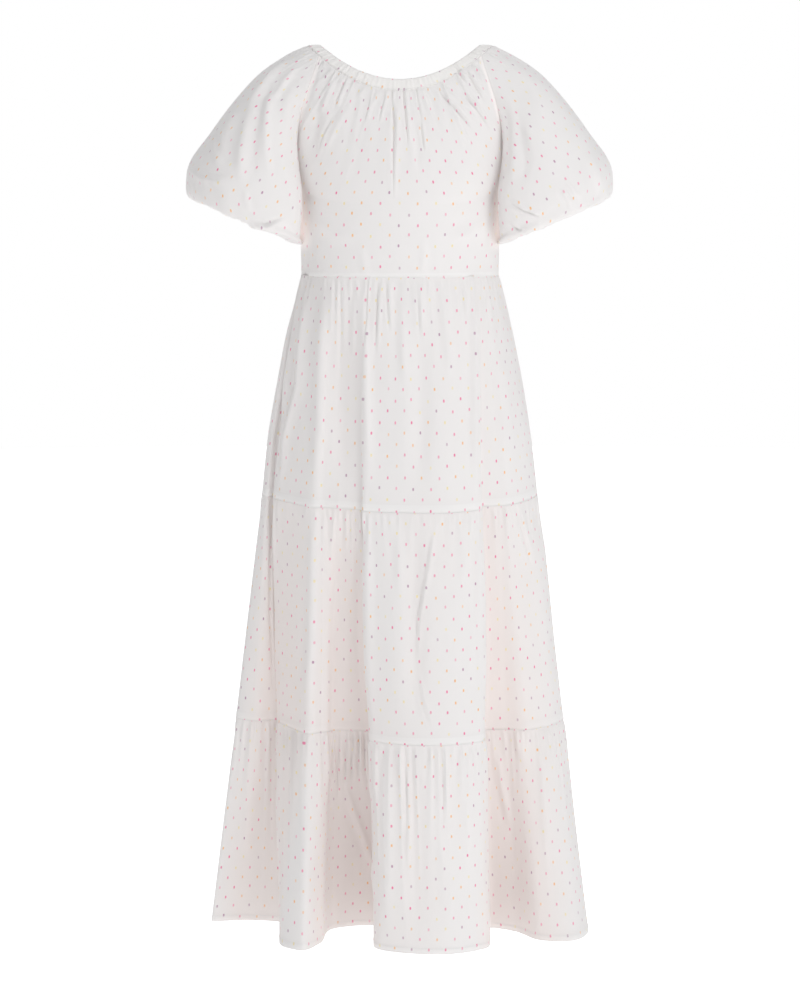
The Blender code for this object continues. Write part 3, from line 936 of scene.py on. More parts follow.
    def plain(self, side: Side, shares: np.ndarray, rows: np.ndarray) -> np.ndarray:
        """Points of a panel before its gathers, from its right edge to its left edge."""
        profile = self.panel(side).profile
        across = 2 * shares - 1
        edge = self.edge(rows, side)
        middle_z = smooth(self.profile_shares, [z for z, _ in profile], rows)
        middle_y = side.value * smooth(self.profile_shares, [y for _, y in profile], rows)
        turn = smooth(self.turn_rows, self.turns, rows)
        angle = across[None, :] * turn[:, None]
        x = edge[:, :1] * np.sin(angle) / np.sin(turn)[:, None]
        bow = (np.cos(angle) - np.cos(turn)[:, None]) / (1 - np.cos(turn))[:, None]
        y = edge[:, 1:2] + (middle_y[:, None] - edge[:, 1:2]) * bow
        depth = self.neck.dip_front if side is Side.FRONT else self.neck.dip_back
        fine = np.linspace(-1.0, 1.0, 401)
        dips = self.neck.dip(fine * RAGLAN_ANGLE, depth + self.neck.casing_drop)
        lowest = dips.max()
        rise = (lowest - np.interp(across, fine, dips)) / (lowest - dips[0])
        z = middle_z[:, None] + (edge[:, 2:] - middle_z[:, None]) * rise[None, :]
        return np.stack([x, y, z], axis=-1)

    def sheet(self, side: Side) -> Sheet:
        """One bodice panel with its gathers and creases."""
        panel = self.panel(side)
        shares = np.linspace(0.0, 1.0, panel.columns)
        rows = np.linspace(0.0, 1.0, panel.rows) ** self.row_bunching
        grid = self.plain(side, shares, rows)
        waves = Waves()
        strength = np.clip(rows / self.coarse_rise, 0, 1) * np.clip(1 - rows / self.coarse_end, 0, 1)
        wave = np.cos(waves.phase(shares, panel.waves)) * waves.height(shares)
        fall = rows * self.length
        lift = self.coarse_height * strength[:, None] * wave[None, :]
        lift += panel.gathers.lift(shares, fall)
        lift += panel.puckers.lift(shares, fall[-1] - fall)
        lift += crease_lift(panel.creases, grid)
        lift *= waves.ends(shares)[None, :]
        normal = normals_of(grid, closed=False)
        normal *= np.sign(np.mean(normal[..., 1])) * side.value
        cloth = flat_cloth(grid, run_length(grid[int(len(grid) * self.widest_row)]))
        grid = grid + normal * lift[..., None]
        grid[0] += unit(grid[0] - grid[1]) * TUCK_UP - normal[0] * TUCK_IN
        if side is Side.BACK:
            grid = grid[:, ::-1]
            cloth = cloth[:, ::-1]
        return Sheet(f"bodice_{side.name.lower()}", grid, cloth, valleys=self.beside_sleeves(grid))

    def beside_sleeves(self, grid: np.ndarray) -> np.ndarray:
        """How deep each point lies in the narrow gap between the bodice and a sleeve, from 0 to 1; it sets
        the painted light and painted shade there.
        """
        across = np.abs(grid[..., 0])
        inwards = across.max(axis=1, keepdims=True) - across
        sunk = ease((self.gap_start - grid[..., 2]) / self.gap_widens)
        width = self.gap_reach * (0.3 + 0.7 * sunk)
        above_sleeve_end = ease((grid[..., 2] - self.gap_end) / self.gap_fade)
        return ease(1 - inwards / width) * (0.35 + 0.65 * sunk) * above_sleeve_end


@dataclass(frozen=True)
class Sleeves:
    """Puffed raglan sleeves, each gathered into an elastic cuff inside its turned-in end."""

    neck: Neckline
    columns: int = 340
    rows: int = 70
    shoulder_share: float = 0.125
    coarse_count: int = 10
    coarse_height: float = 0.00144
    length: float = 0.30
    widest_row: float = 0.66
    cuff_half: float = 0.0500
    cuff_height: float = 0.012
    cuff_axis: Spot = (-0.439, 0.0, 0.898)
    cuff_seat: float = 0.0018
    cuff_columns: int = 240
    cuff_rows: int = 7
    cuff_ruffles: int = 46
    cuff_ruffle_height: float = 0.0009
    cuff_fullness: float = 1.5
    cuff_cut_length: float = 0.014
    # Share of the length, outer x and z, inner x and z, half depth, squareness beside the body
    rings: tuple[tuple[float, ...], ...] = (
        (0.20, 0.1640, -0.0175, 0.1462, -0.2120, 0.083, 0.22),
        (0.42, 0.2060, -0.0480, 0.1442, -0.2340, 0.099, 0.30),
        (0.66, 0.2640, -0.1190, 0.1420, -0.2560, 0.107, 0.30),
        (0.84, 0.2990, -0.1800, 0.1412, -0.2700, 0.104, 0.25),
        (0.92, 0.2940, -0.2120, 0.1420, -0.2770, 0.096, 0.18),
        (0.96, 0.2760, -0.2150, 0.1620, -0.2700, 0.080, 0.08),
        (1.00, 0.2620, -0.2030, 0.1720, -0.2470, 0.0505, 0.0),
    )
    wrap: float = 0.014
    coarse_fade: tuple[Point, ...] = (
        (0.0, 0.0), (0.12, 1.0), (0.6, 0.35), (0.86, 1.0), (0.92, 1.0), (1.0, 0.3),
    )
    # Creases as they lie on the wearer's left
    left_creases: tuple[Crease, ...] = (
        soft(5.0, 2.6, (148, -70), (157, -105), (158, -150), (152, -200)),
        soft(7.0, -3.0, (160, -100), (168, -130), (172, -165), (164, -205)),
        soft(9.0, 1.8, (150, -24), (186, -66), (204, -130)),
        pleat(3.4, 3.2, (150, -218), (170, -230), (200, -240)),
        pleat(3.4, 3.2, (150, -248), (164, -256), (190, -258)),
        soft(3.6, 3.0, (220, -198), (230, -212), (240, -224)),
        soft(3.6, 2.8, (246, -228), (262, -221), (282, -214)),
        soft(4.0, 2.0, (230, -190), (240, -205), (252, -214)),
        soft(6.0, 2.6, (262, -150), (276, -186), (282, -210)),
    )
    right_creases: tuple[Crease, ...] = (
        soft(4.6, 3.6, (150, -16), (178, -40), (204, -76), (212, -100)),
        soft(4.0, 2.8, (140, -30), (160, -52), (178, -84)),
        soft(5.0, -3.0, (176, -56), (190, -76), (196, -104)),
        soft(6.0, 3.0, (176, -56), (184, -100), (184, -150), (178, -205)),
        soft(7.0, 3.4, (198, -72), (212, -110), (219, -150), (219, -205)),
        soft(7.0, -2.6, (190, -80), (199, -120), (202, -160), (202, -195)),
        soft(8.0, 2.8, (222, -82), (244, -126), (250, -180)),
        soft(6.0, 2.2, (150, -50), (158, -90), (160, -150)),
        soft(4.2, 3.2, (296, -172), (276, -184), (258, -188), (228, -191)),
        soft(4.0, 2.4, (276, -186), (265, -204), (254, -218)),
        soft(4.0, 2.6, (262, -120), (256, -150), (246, -176)),
        soft(4.0, 2.0, (216, -200), (211, -215), (206, -234)),
        pleat(4.0, 3.2, (214, -246), (186, -248), (158, -238)),
    )
    back_creases: tuple[Crease, ...] = (
        soft(6.5, 2.6, (130, -34), (152, -86), (160, -150)),
        soft(8.0, 2.6, (156, -34), (196, -86), (214, -146)),
        soft(9.0, 2.4, (184, -48), (222, -100), (244, -168)),
        pleat(4.0, 2.8, (224, -170), (236, -200), (248, -226)),
        pleat(4.0, 2.8, (190, -186), (196, -216), (204, -246)),
        soft(7.0, 2.6, (262, -150), (276, -186), (280, -216)),
    )

    def loop(self, turns: np.ndarray) -> np.ndarray:
        """Ring where a left sleeve is sewn on, a turn of 0 at the shoulder and a quarter at the front."""
        back = turns > 0.5
        share = np.where(back, 1 - turns, turns)
        swing = share / self.shoulder_share * (math.pi / 2 - RAGLAN_ANGLE)
        angle = np.where(back, math.pi / 2 + swing, math.pi / 2 - swing)
        shoulder = self.neck.points(angle, 1.0)
        down_seam = np.clip((share - self.shoulder_share) / (0.5 - self.shoulder_share), 0.0, 1.0)
        front_seam = raglan(self.neck, Side.FRONT, down_seam)
        back_seam = raglan(self.neck, Side.BACK, down_seam)
        seam = np.where(back[:, None], back_seam, front_seam)
        return np.where((share < self.shoulder_share)[:, None], shoulder, seam)

    def plain(self, turns: np.ndarray, rows: np.ndarray) -> np.ndarray:
        """Points of the left sleeve before its gathers."""
        around = 2 * math.pi * turns
        stations = [self.loop(turns)]
        for _, outer_x, outer_z, inner_x, inner_z, half, square in self.rings:
            middle = np.array([(outer_x + inner_x) / 2, 0.0, (outer_z + inner_z) / 2])
            arm = np.array([(outer_x - inner_x) / 2, 0.0, (outer_z - inner_z) / 2])
            reach, depth = self.squared(np.cos(around), np.sin(around), square)
            ring = middle + reach[:, None] * arm
            nearer = np.where(np.cos(around) < 0, np.sin(2 * around) ** 2, 0.0)
            ring[:, 0] -= self.wrap * square / 0.3 * nearer
            ring[:, 1] -= half * depth
            stations.append(ring)
        knots = [0.0] + [row[0] for row in self.rings]
        return smooth(knots, stations, rows)

    def squared(self, reach: np.ndarray, depth: np.ndarray, square: float) -> tuple[np.ndarray, np.ndarray]:
        """Turns the half of a circle that lies towards the body into a squarer form."""
        inner = reach < 0
        squarer_reach = -np.abs(reach) ** (1 - 0.7 * square)
        squarer_depth = np.sign(depth) * np.abs(depth) ** (1 - square)
        return np.where(inner, squarer_reach, reach), np.where(inner, squarer_depth, depth)

    def sheet(self, mirrored: bool) -> Sheet:
        """One sleeve with its gathers and creases; the right one is the left one mirrored.

        Args:
            mirrored: Whether it is the wearer's right sleeve.

        Returns:
            The sleeve as a tube.
        """
        turns = np.arange(self.columns) / self.columns
        rows = np.linspace(0.0, 1.0, self.rows)
        grid = self.plain(turns, rows)
        lift = self.lift(grid, turns, rows, mirrored)
        cloth = flat_cloth(grid, run_length(grid[int(len(grid) * self.widest_row)]))
        normal = normals_of(grid, closed=True)
        grid = grid + normal * lift[..., None]
        grid[0] += unit(grid[0] - grid[1]) * TUCK_UP - normal[0] * TUCK_IN
        return self.on_side("sleeve", grid, cloth, mirrored)

    def on_side(self, name: str, grid: np.ndarray, cloth: np.ndarray, mirrored: bool) -> Sheet:
        """Makes a tube of the left arm into the piece of that arm, or of the right arm by mirroring it.

        Args:
            name: Name of the piece without its side.
            grid: Points of the piece on the wearer's left.
            cloth: Place of each point on the flat cloth.
            mirrored: Whether it is the wearer's right piece.

        Returns:
            The piece, with its outer side outwards.
        """
        if mirrored:
            return Sheet(f"{name}_right", grid * np.array([-1.0, 1.0, 1.0]), cloth, closed=True)
        across, down = cloth[:, ::-1, 0], cloth[:, ::-1, 1]
        turned = np.stack([across.max() - across, down], axis=-1)
        return Sheet(f"{name}_left", grid[:, ::-1], turned, closed=True)

    def lift(self, grid: np.ndarray, turns: np.ndarray, rows: np.ndarray, mirrored: bool) -> np.ndarray:
        """Height of the gathers and creases over the plain sleeve."""
        around = 2 * math.pi * turns
        waves = Waves()
        seed = 31 if mirrored else 21
        clear = 0.5 + 0.5 * np.cos(around)
        strength = np.interp(rows, *zip(*self.coarse_fade))
        wave = np.cos(around * self.coarse_count) * waves.height(turns)
        lift = self.coarse_height * strength[:, None] * (wave * clear)[None, :]
        fall = rows * self.length
        sewn = ease((self.shoulder_share + 0.05 - np.minimum(turns, 1 - turns)) / 0.08)
        neck = Gathers(count=92, height=0.0024, length=0.030, rise=0.006, seed=seed)
        lift += neck.lift(turns, fall) * sewn[None, :]
        cuff = Gathers(count=46, height=0.0040, length=0.030, rise=0.004, seed=seed + 1)
        lift += cuff.lift(turns, fall[-1] - fall) * (0.3 + 0.7 * clear)[None, :]
        creases = self.right_creases if mirrored else self.left_creases
        front = crease_lift(creases, grid)
        return lift + np.where(grid[..., 1] < 0, front, crease_lift(self.back_creases, grid))

    def cuff(self, mirrored: bool) -> Sheet:
        """One elastic cuff, a short ruffled band inside the sleeve's end."""
        _, outer_x, outer_z, inner_x, inner_z, half, _ = self.rings[-1]
        turns = np.arange(self.cuff_columns) / self.cuff_columns
        around = 2 * math.pi * turns
        arm = unit(np.array([outer_x - inner_x, 0.0, outer_z - inner_z]))
        middle = np.array([outer_x + inner_x, 0.0, outer_z + inner_z]) / 2
        ring = middle + np.cos(around)[:, None] * arm * self.cuff_half
        ring[:, 1] -= half * np.sin(around)
        axis = np.array(self.cuff_axis)
        shares = np.linspace(0.0, 1.0, self.cuff_rows)
        grid = np.stack([ring + axis * (self.cuff_seat + self.cuff_height * share) for share in shares])
        wave = Waves(drift=((5, 0.004), (9, 0.002)), swell=0.4)
        ruffle = self.cuff_ruffle_height * np.cos(wave.phase(turns, self.cuff_ruffles)) * wave.height(turns)
        bulge = np.sin(math.pi * shares) ** self.neck.puff_roundness
        grid = grid + normals_of(grid, closed=True) * (bulge[:, None] * ruffle[None, :])[..., None]
        across = run_length(ring) * self.cuff_fullness
        down = shares * self.cuff_cut_length
        cloth = np.stack(np.broadcast_arrays(across[None, :], down[:, None]), axis=-1)
        return self.on_side("cuff", grid, cloth, mirrored)


@dataclass(frozen=True)
class Skirt:
    """Three gathered tiers that fall in wide folds."""

    seam_heights: tuple[float, ...] = (WAIST_Z, -0.634, -0.9595, -1.262)
    seam_sink: tuple[float, ...] = (0.0, 0.012, 0.006, 0.0)
    sink_reach: float = 0.14
    flare_ease: float = 0.5
    rows: int = 54
    front_columns: int = 450
    back_columns: int = 280
    coarse_height: float = 0.00161
    coarse_rise: float = 0.028
    coarse_fade: float = 0.085
    front_waves: int = 17
    back_waves: int = 13
    swell_shift: float = 0.37
    band: float = 0.011
    hem: float = 0.009
    band_rise: float = 0.0012
    band_relief: float = 0.0003
    row_bunching: float = 1.2
    cut_fullness: float = 1.02
    # Fine gathers under the upper seam of each tier, and the puckers over its lower seam
    gather_room: float = 0.0082
    gather_heights: Spot = (0.0028, 0.0036, 0.0058)
    gather_lengths: Spot = (0.048, 0.044, 0.066)
    pucker_room: float = 0.011
    # Depth that counts as a full valley, how much painted shade it brings on each tier, and the columns
    # looked at
    deep: float = 0.038
    valley_shade_strengths: Spot = (0.4, 1.25, 1.0)
    valley_reach: int = 88
    valley_step: int = 4
    # Name, angle at the waist from the front in degrees, then x and y at each lower edge
    folds: tuple[tuple[object, ...], ...] = (
        ("right side seam", -90, -0.197, 0.000, -0.237, 0.000, -0.275, 0.004),
        ("side panel", -84, -0.191, -0.018, -0.212, -0.018, -0.232, 0.010),
        ("side valley", -76, -0.178, -0.016, -0.181, -0.014, -0.176, 0.000),
        ("narrow fold, outer flank", -63, -0.156, -0.062, -0.158, -0.056, -0.159, -0.136),
        ("narrow fold, crest", -50, -0.128, -0.092, -0.134, -0.092, -0.138, -0.150),
        ("narrow fold, inner flank", -41, -0.106, -0.098, -0.110, -0.089, -0.116, -0.118),
        ("front valley, floor", -32, -0.080, -0.106, -0.090, -0.077, -0.096, -0.036),
        ("front valley, inner edge", -20, -0.053, -0.113, -0.042, -0.082, -0.035, -0.018),
        ("wide fold, right edge", -13, -0.040, -0.127, -0.032, -0.146, -0.027, -0.146),
        ("wide fold, right crest", -5, -0.012, -0.132, 0.000, -0.163, 0.006, -0.162),
        ("wide fold, left crest", 22, 0.070, -0.134, 0.078, -0.164, 0.085, -0.163),
        ("wide fold, left edge", 40, 0.103, -0.120, 0.110, -0.146, 0.119, -0.140),
        ("left valley", 48, 0.117, -0.092, 0.124, -0.074, 0.134, -0.032),
        ("left fold, inner flank", 55, 0.136, -0.086, 0.148, -0.071, 0.165, -0.050),
        ("left fold, crest", 63, 0.159, -0.074, 0.184, -0.072, 0.202, -0.098),
        ("left fold, outer flank", 73, 0.181, -0.044, 0.216, -0.046, 0.246, -0.100),
        ("left fold, edge", 82, 0.194, -0.012, 0.232, -0.016, 0.270, -0.056),
        ("left side seam", 90, 0.195, 0.014, 0.234, 0.012, 0.262, 0.004),
        ("back left side valley", 104, 0.186, 0.050, 0.214, 0.046, 0.229, 0.044),
        ("back left side fold", 121, 0.170, 0.094, 0.204, 0.104, 0.232, 0.122),
        ("back left valley", 136, 0.138, 0.104, 0.152, 0.100, 0.160, 0.084),
        ("back left fold, outer crest", 150, 0.099, 0.137, 0.113, 0.157, 0.126, 0.182),
        ("back left fold, inner crest", 163, 0.056, 0.145, 0.064, 0.160, 0.072, 0.178),
        ("back middle valley", 175, 0.019, 0.130, 0.022, 0.121, 0.028, 0.100),
        ("back right fold, inner crest", 188, -0.025, 0.149, -0.028, 0.169, -0.030, 0.188),
        ("back right fold, outer crest", 200, -0.065, 0.142, -0.075, 0.158, -0.082, 0.172),
        ("back right valley", 215, -0.108, 0.118, -0.116, 0.108, -0.124, 0.092),
        ("back right side fold, crest", 231, -0.150, 0.108, -0.173, 0.121, -0.194, 0.138),
        ("back right side fold, edge", 245, -0.180, 0.068, -0.212, 0.072, -0.240, 0.078),
        ("back right side valley", 258, -0.192, 0.029, -0.226, 0.028, -0.252, 0.036),
    )
    # Creases of the panels, tier by tier from the waist down
    front_creases: tuple[tuple[Crease, ...], ...] = (
        (
            soft(13.0, -6.0, (-80, -340), (-82, -420), (-82, -520), (-80, -640)),
            soft(8.0, 4.8, (-102, -330), (-108, -400), (-111, -526), (-120, -640)),
            soft(9.0, 4.4, (-51, -326), (-49, -393), (-46, -524), (-44, -640)),
            soft(4.0, 1.6, (-49, -326), (-47, -393), (-44, -524), (-42, -600)),
            soft(4.0, 2.0, (-62, -326), (-64, -370), (-66, -440)),
            soft(4.0, 2.0, (-92, -326), (-94, -360), (-96, -420)),
            soft(7.0, 2.6, (-128, -326), (-134, -400), (-138, -520)),
            pleat(3.4, 2.4, (-30, -324), (-32, -370), (-34, -430)),
            pleat(3.2, 2.2, (-19, -324), (-17, -360), (-14, -400)),
            soft(6.0, 2.4, (1, -324), (3, -390), (8, -480)),
            pleat(3.2, 2.2, (22, -324), (25, -360), (29, -410)),
            soft(13.0, -4.6, (24, -360), (29, -430), (30, -524), (25, -640)),
            soft(7.0, 3.2, (60, -326), (66, -390), (70, -470)),
            soft(5.0, 3.8, (104, -326), (105, -407), (105, -525), (106, -640)),
            pleat(3.4, 2.4, (84, -324), (88, -350), (90, -386)),
            pleat(5.0, 6.5, (-136, -328), (-139, -369), (-147, -471), (-166, -545), (-176, -640)),
            soft(5.0, -4.6, (-144, -336), (-147, -380), (-155, -471), (-174, -545), (-184, -640)),
            soft(9.0, 3.0, (140, -420), (150, -500), (156, -590)),
        ),
        (
            pleat(3.4, 2.6, (48, -640), (36, -720), (24, -789), (19, -870)),
            pleat(3.2, 1.6, (22, -866), (32, -910), (45, -948)),
            soft(12.0, -4.4, (25, -645), (22, -740), (21, -840), (25, -955)),
            soft(7.0, 3.8, (-122, -640), (-122, -740), (-124, -840), (-133, -955)),
            soft(11.0, -4.6, (-84, -640), (-88, -730), (-90, -830), (-88, -955)),
            soft(8.0, 4.4, (-44, -640), (-46, -730), (-47, -830), (-41, -955)),
            soft(6.0, 3.6, (107, -640), (112, -720), (118, -813), (118, -950)),
            soft(3.6, 2.0, (-104, -640), (-106, -680), (-106, -740)),
            soft(3.6, 2.2, (-74, -640), (-75, -676), (-76, -720)),
            soft(3.6, 2.0, (-52, -640), (-54, -670), (-58, -710)),
            soft(3.6, 2.0, (-90, -640), (-91, -665), (-92, -700)),
            pleat(4.0, 3.4, (162, -634), (172, -680), (188, -736)),
            pleat(4.0, 3.2, (-178, -634), (-186, -720), (-187, -800), (-182, -950)),
            soft(6.0, 2.6, (-62, -650), (-66, -700), (-64, -760)),
            soft(7.0, 2.2, (88, -648), (90, -700), (84, -760)),
            soft(6.0, 2.2, (-4, -655), (0, -700), (0, -760)),
            soft(10.0, 3.0, (196, -660), (204, -760), (208, -880)),
        ),
        (
            soft(5.0, 4.4, (-84, -1020), (-70, -1075), (-50, -1128), (-30, -1200)),
            soft(3.8, 2.6, (-114, -966), (-116, -1010), (-117, -1070)),
            pleat(3.4, 3.8, (-98, -958), (-99, -995), (-100, -1050)),
            pleat(3.4, 4.0, (-86, -956), (-87, -1000), (-90, -1070)),
            pleat(3.4, 4.0, (-75, -956), (-76, -995), (-79, -1050)),
            pleat(3.2, 3.8, (-58, -958), (-58, -990), (-60, -1040)),
            pleat(3.2, 3.6, (-41, -960), (-40, -1000), (-37, -1060)),
            soft(9.0, 3.6, (-22, -966), (-19, -1060), (-18, -1160), (-18, -1262)),
            soft(15.0, -4.6, (17, -966), (21, -1070), (25, -1170), (29, -1262)),
            pleat(3.6, 2.6, (8, -960), (8, -1060), (8, -1165)),
            pleat(3.4, 2.4, (58, -960), (60, -1030), (60, -1095)),
            soft(5.0, 3.0, (136, -976), (144, -1040), (160, -1116)),
            soft(4.4, 2.6, (163, -956), (168, -980), (177, -1014)),
            soft(8.0, 2.6, (88, -970), (94, -1050), (98, -1140)),
            pleat(3.4, 3.2, (-50, -965), (-50, -1010), (-46, -1060)),
            pleat(3.4, 3.6, (-66, -960), (-68, -1000), (-70, -1050)),
            soft(8.0, 3.2, (-104, -975), (-112, -1050), (-118, -1150)),
            pleat(4.0, 3.2, (-178, -960), (-176, -1040), (-180, -1170)),
            soft(10.0, 3.4, (-206, -970), (-216, -1060), (-226, -1180)),
            soft(10.0, 3.2, (196, -975), (206, -1060), (214, -1160)),
            soft(9.0, 2.0, (60, -1090), (68, -1170), (72, -1250)),
        ),
    )
    back_creases: tuple[tuple[Crease, ...], ...] = (
        (
            pleat(4.6, 3.2, (-84, -324), (-98, -400), (-112, -520)),
            pleat(3.8, 2.8, (-26, -324), (-30, -380), (-36, -470)),
            soft(7.0, 3.4, (14, -326), (14, -390), (18, -520)),
            pleat(3.8, 2.8, (58, -324), (66, -380), (70, -450)),
            soft(9.0, 3.6, (102, -330), (118, -410), (134, -540)),
        ),
        (
            soft(8.5, 3.4, (-130, -640), (-140, -710), (-142, -800)),
            pleat(4.0, 3.0, (-50, -636), (-46, -720), (-50, -820)),
            pleat(4.0, 3.0, (20, -636), (22, -740), (26, -900)),
            soft(7.0, 3.0, (84, -640), (90, -690), (92, -760)),
            pleat(4.6, 3.4, (156, -636), (170, -730), (180, -860)),
        ),
        (
            pleat(4.6, 3.4, (-168, -962), (-182, -1050), (-190, -1170)),
            soft(7.5, 3.4, (-52, -970), (-50, -1040), (-56, -1130)),
            pleat(4.4, 3.2, (4, -962), (0, -1060), (10, -1190)),
            pleat(3.8, 3.0, (96, -962), (98, -1030), (92, -1120)),
            soft(10.0, 3.6, (186, -970), (204, -1060), (214, -1180)),
        ),
    )

    def knots(self) -> np.ndarray:
        """Share of the hem's length at which each fold lies."""
        hem = np.array([row[6:8] for row in self.folds])
        lengths = np.linalg.norm(np.roll(hem, -1, axis=0) - hem, axis=1)
        return np.concatenate([[0.0], np.cumsum(lengths)[:-1]]) / lengths.sum()

    def side_share(self) -> float:
        """Share of the way round at which the left side seam lies."""
        return float(self.knots()[[row[0] for row in self.folds].index("left side seam")])

    def plans(self, shares: np.ndarray) -> list[np.ndarray]:
        """Plan of the skirt at the waist, the two seams and the hem."""
        angles = np.radians([row[1] for row in self.folds])
        depth = np.where(np.cos(angles) > 0, WAIST_DEPTH[Side.FRONT], WAIST_DEPTH[Side.BACK])
        waist = np.stack([WAIST_HALF_WIDTH * np.sin(angles), -depth * np.cos(angles)], axis=-1)
        levels = [waist] + [np.array([row[k : k + 2] for row in self.folds], float) for k in (2, 4, 6)]
        return [smooth_round(self.knots(), level, shares) for level in levels]

    def plain(self, tier: int, shares: np.ndarray, rows: np.ndarray) -> np.ndarray:
        """Points of one tier before its gathers."""
        upper, lower = self.plans(shares)[tier : tier + 2]
        flare = rows + (self.flare_ease * rows * (1 - rows) if tier == 0 else 0.0)
        plan = upper[None] + (lower - upper)[None] * flare[:, None, None]
        ends = []
        for level, ring in ((tier, upper), (tier + 1, lower)):
            forward = np.clip(-ring[:, 1] / self.sink_reach, 0.0, 1.0)
            ends.append(self.seam_heights[level] - self.seam_sink[level] * forward)
        z = ends[0][None] + (ends[1] - ends[0])[None] * rows[:, None]
        return np.concatenate([plan, z[..., None]], axis=2)

    def coarse(self, tier: int, shares: np.ndarray, fall: np.ndarray, rows: np.ndarray) -> np.ndarray:
        """Height of the part's own gathers."""
        side = self.side_share()
        front = shares <= side
        share = np.where(front, shares / side, (shares - side) / (1 - side))
        waves = Waves()
        count = np.where(front, self.front_waves, self.back_waves)
        heights = waves.height((shares + self.swell_shift * tier) % 1.0)
        wave = np.cos(waves.phase(share, 1) * count) * waves.ends(share) * heights
        strength = np.clip(fall / self.coarse_rise, 0, 1)
        strength = strength * np.exp(-np.clip(fall - self.coarse_rise, 0, None) / self.coarse_fade)
        if tier < 2:
            strength = strength * (1 - rows**3)
        return self.coarse_height * strength[:, None] * wave[None, :]

    def sheets(self, tier: int) -> tuple[Sheet, Sheet]:
        """Front and back panel of one tier.

        Args:
            tier: Number of the tier, 0 at the waist.

        Returns:
            The two panels, which meet at the side seams.
        """
        side = self.side_share()
        front = side * np.linspace(0.0, 1.0, self.front_columns)
        back = side + (1 - side) * np.linspace(0.0, 1.0, self.back_columns)[1:-1]
        shares = np.concatenate([front, back])
        rows = self.row_shares(tier)
        plain = self.plain(tier, shares, rows)
        fall = rows * (self.seam_heights[tier] - self.seam_heights[tier + 1])
        lift = self.coarse(tier, shares, fall, rows)
        lift += self.fine(tier, plain, fall)
        lift += self.edge_relief(tier, fall)[:, None]
        front_side = (plain[..., 1] < 0.0) & (shares <= side)[None, :]
        lift += np.where(front_side, crease_lift(self.front_creases[tier], plain), 0.0)
        lift += np.where(front_side, 0.0, crease_lift(self.back_creases[tier], plain))
        outward = -normals_of(plain, closed=True)
        grid = plain + outward * lift[..., None]
        cloth = self.cloth(plain, fall)
        top = grid[:1] + unit(grid[:1] - grid[1:2]) * TUCK_UP - outward[:1] * TUCK_IN
        grid = np.concatenate([top, grid])
        valleys = self.valleys(tier, grid)
        edge = np.stack([cloth[:1, :, 0], cloth[:1, :, 1] - TUCK_UP], axis=-1)
        cloth = np.concatenate([edge, cloth])
        return self.split(tier, grid, cloth, valleys)

    def valleys(self, tier: int, grid: np.ndarray) -> np.ndarray:
        """How deep each point lies behind the folds beside it, from 0 to 1, and less so up the skirt; it
        sets the painted shade in the folds.
        """
        radius = np.hypot(grid[..., 0], grid[..., 1])
        angle = np.arctan2(grid[..., 0], grid[..., 1])
        reach = radius.copy()
        for shift in range(self.valley_step, self.valley_reach + 1, self.valley_step):
            for way in (-shift, shift):
                turned = np.roll(angle, way, axis=1) - angle
                reach = np.maximum(reach, np.roll(radius, way, axis=1) * np.cos(turned))
        return np.clip((reach - radius) / self.deep, 0.0, 1.0) * self.valley_shade_strengths[tier]

    def row_shares(self, tier: int) -> np.ndarray:
        """Rows of points down a tier, closer under the seam and at the top of the doubled edge."""
        length = self.seam_heights[tier] - self.seam_heights[tier + 1]
        band = self.hem if tier == 2 else self.band
        above = 1 - band / length
        rows = above * np.linspace(0.0, 1.0, self.rows) ** self.row_bunching
        return np.concatenate([rows, [1 - (band - self.band_rise) / length, 1 - 0.4 * band / length, 1.0]])

    def split(
        self, tier: int, grid: np.ndarray, cloth: np.ndarray, valleys: np.ndarray
    ) -> tuple[Sheet, Sheet]:
        """Cuts the ring of a tier apart at the side seams."""
        cut = self.front_columns
        whole = cloth[:, :1] + [2 * cloth[0, -1, 0] - cloth[0, -2, 0], 0.0]
        back_grid = np.concatenate([grid[:, cut - 1 :], grid[:, :1]], axis=1)
        back_cloth = np.concatenate([cloth[:, cut - 1 :], whole], axis=1)
        back_valleys = np.concatenate([valleys[:, cut - 1 :], valleys[:, :1]], axis=1)
        name = f"skirt_tier{tier + 1}"
        front = Sheet(f"{name}_front", grid[:, :cut], cloth[:, :cut], valleys=valleys[:, :cut])
        return front, Sheet(f"{name}_back", back_grid, back_cloth, valleys=back_valleys)

    def fine(self, tier: int, plain: np.ndarray, fall: np.ndarray) -> np.ndarray:
        """Height of the fine gathers under the upper seam and the puckers over the lower one."""
        upper = run_length(plain[0])
        gathers = Gathers(count=int(upper[-1] / self.gather_room), height=self.gather_heights[tier],
                          length=self.gather_lengths[tier], seed=41 + tier)
        lift = gathers.lift(upper / upper[-1], fall)
        if tier < 2:
            lower = run_length(plain[-1])
            puckers = Gathers(count=int(lower[-1] / self.pucker_room), height=0.0007, length=0.011,
                              rise=0.002, seed=51 + tier)
            lift += puckers.lift(lower / lower[-1], fall[-1] - fall)
        return lift

    def edge_relief(self, tier: int, fall: np.ndarray) -> np.ndarray:
        """Height of the doubled cloth over the lower edge."""
        band = self.hem if tier == 2 else self.band
        return self.band_relief * ease((fall - fall[-1] + band) / self.band_rise)

    def cloth(self, plain: np.ndarray, fall: np.ndarray) -> np.ndarray:
        """Place of each point on the flat cloth."""
        across = run_length(plain[-1]) * self.cut_fullness
        return np.stack(np.broadcast_arrays(across[None, :], fall[:, None]), axis=-1)


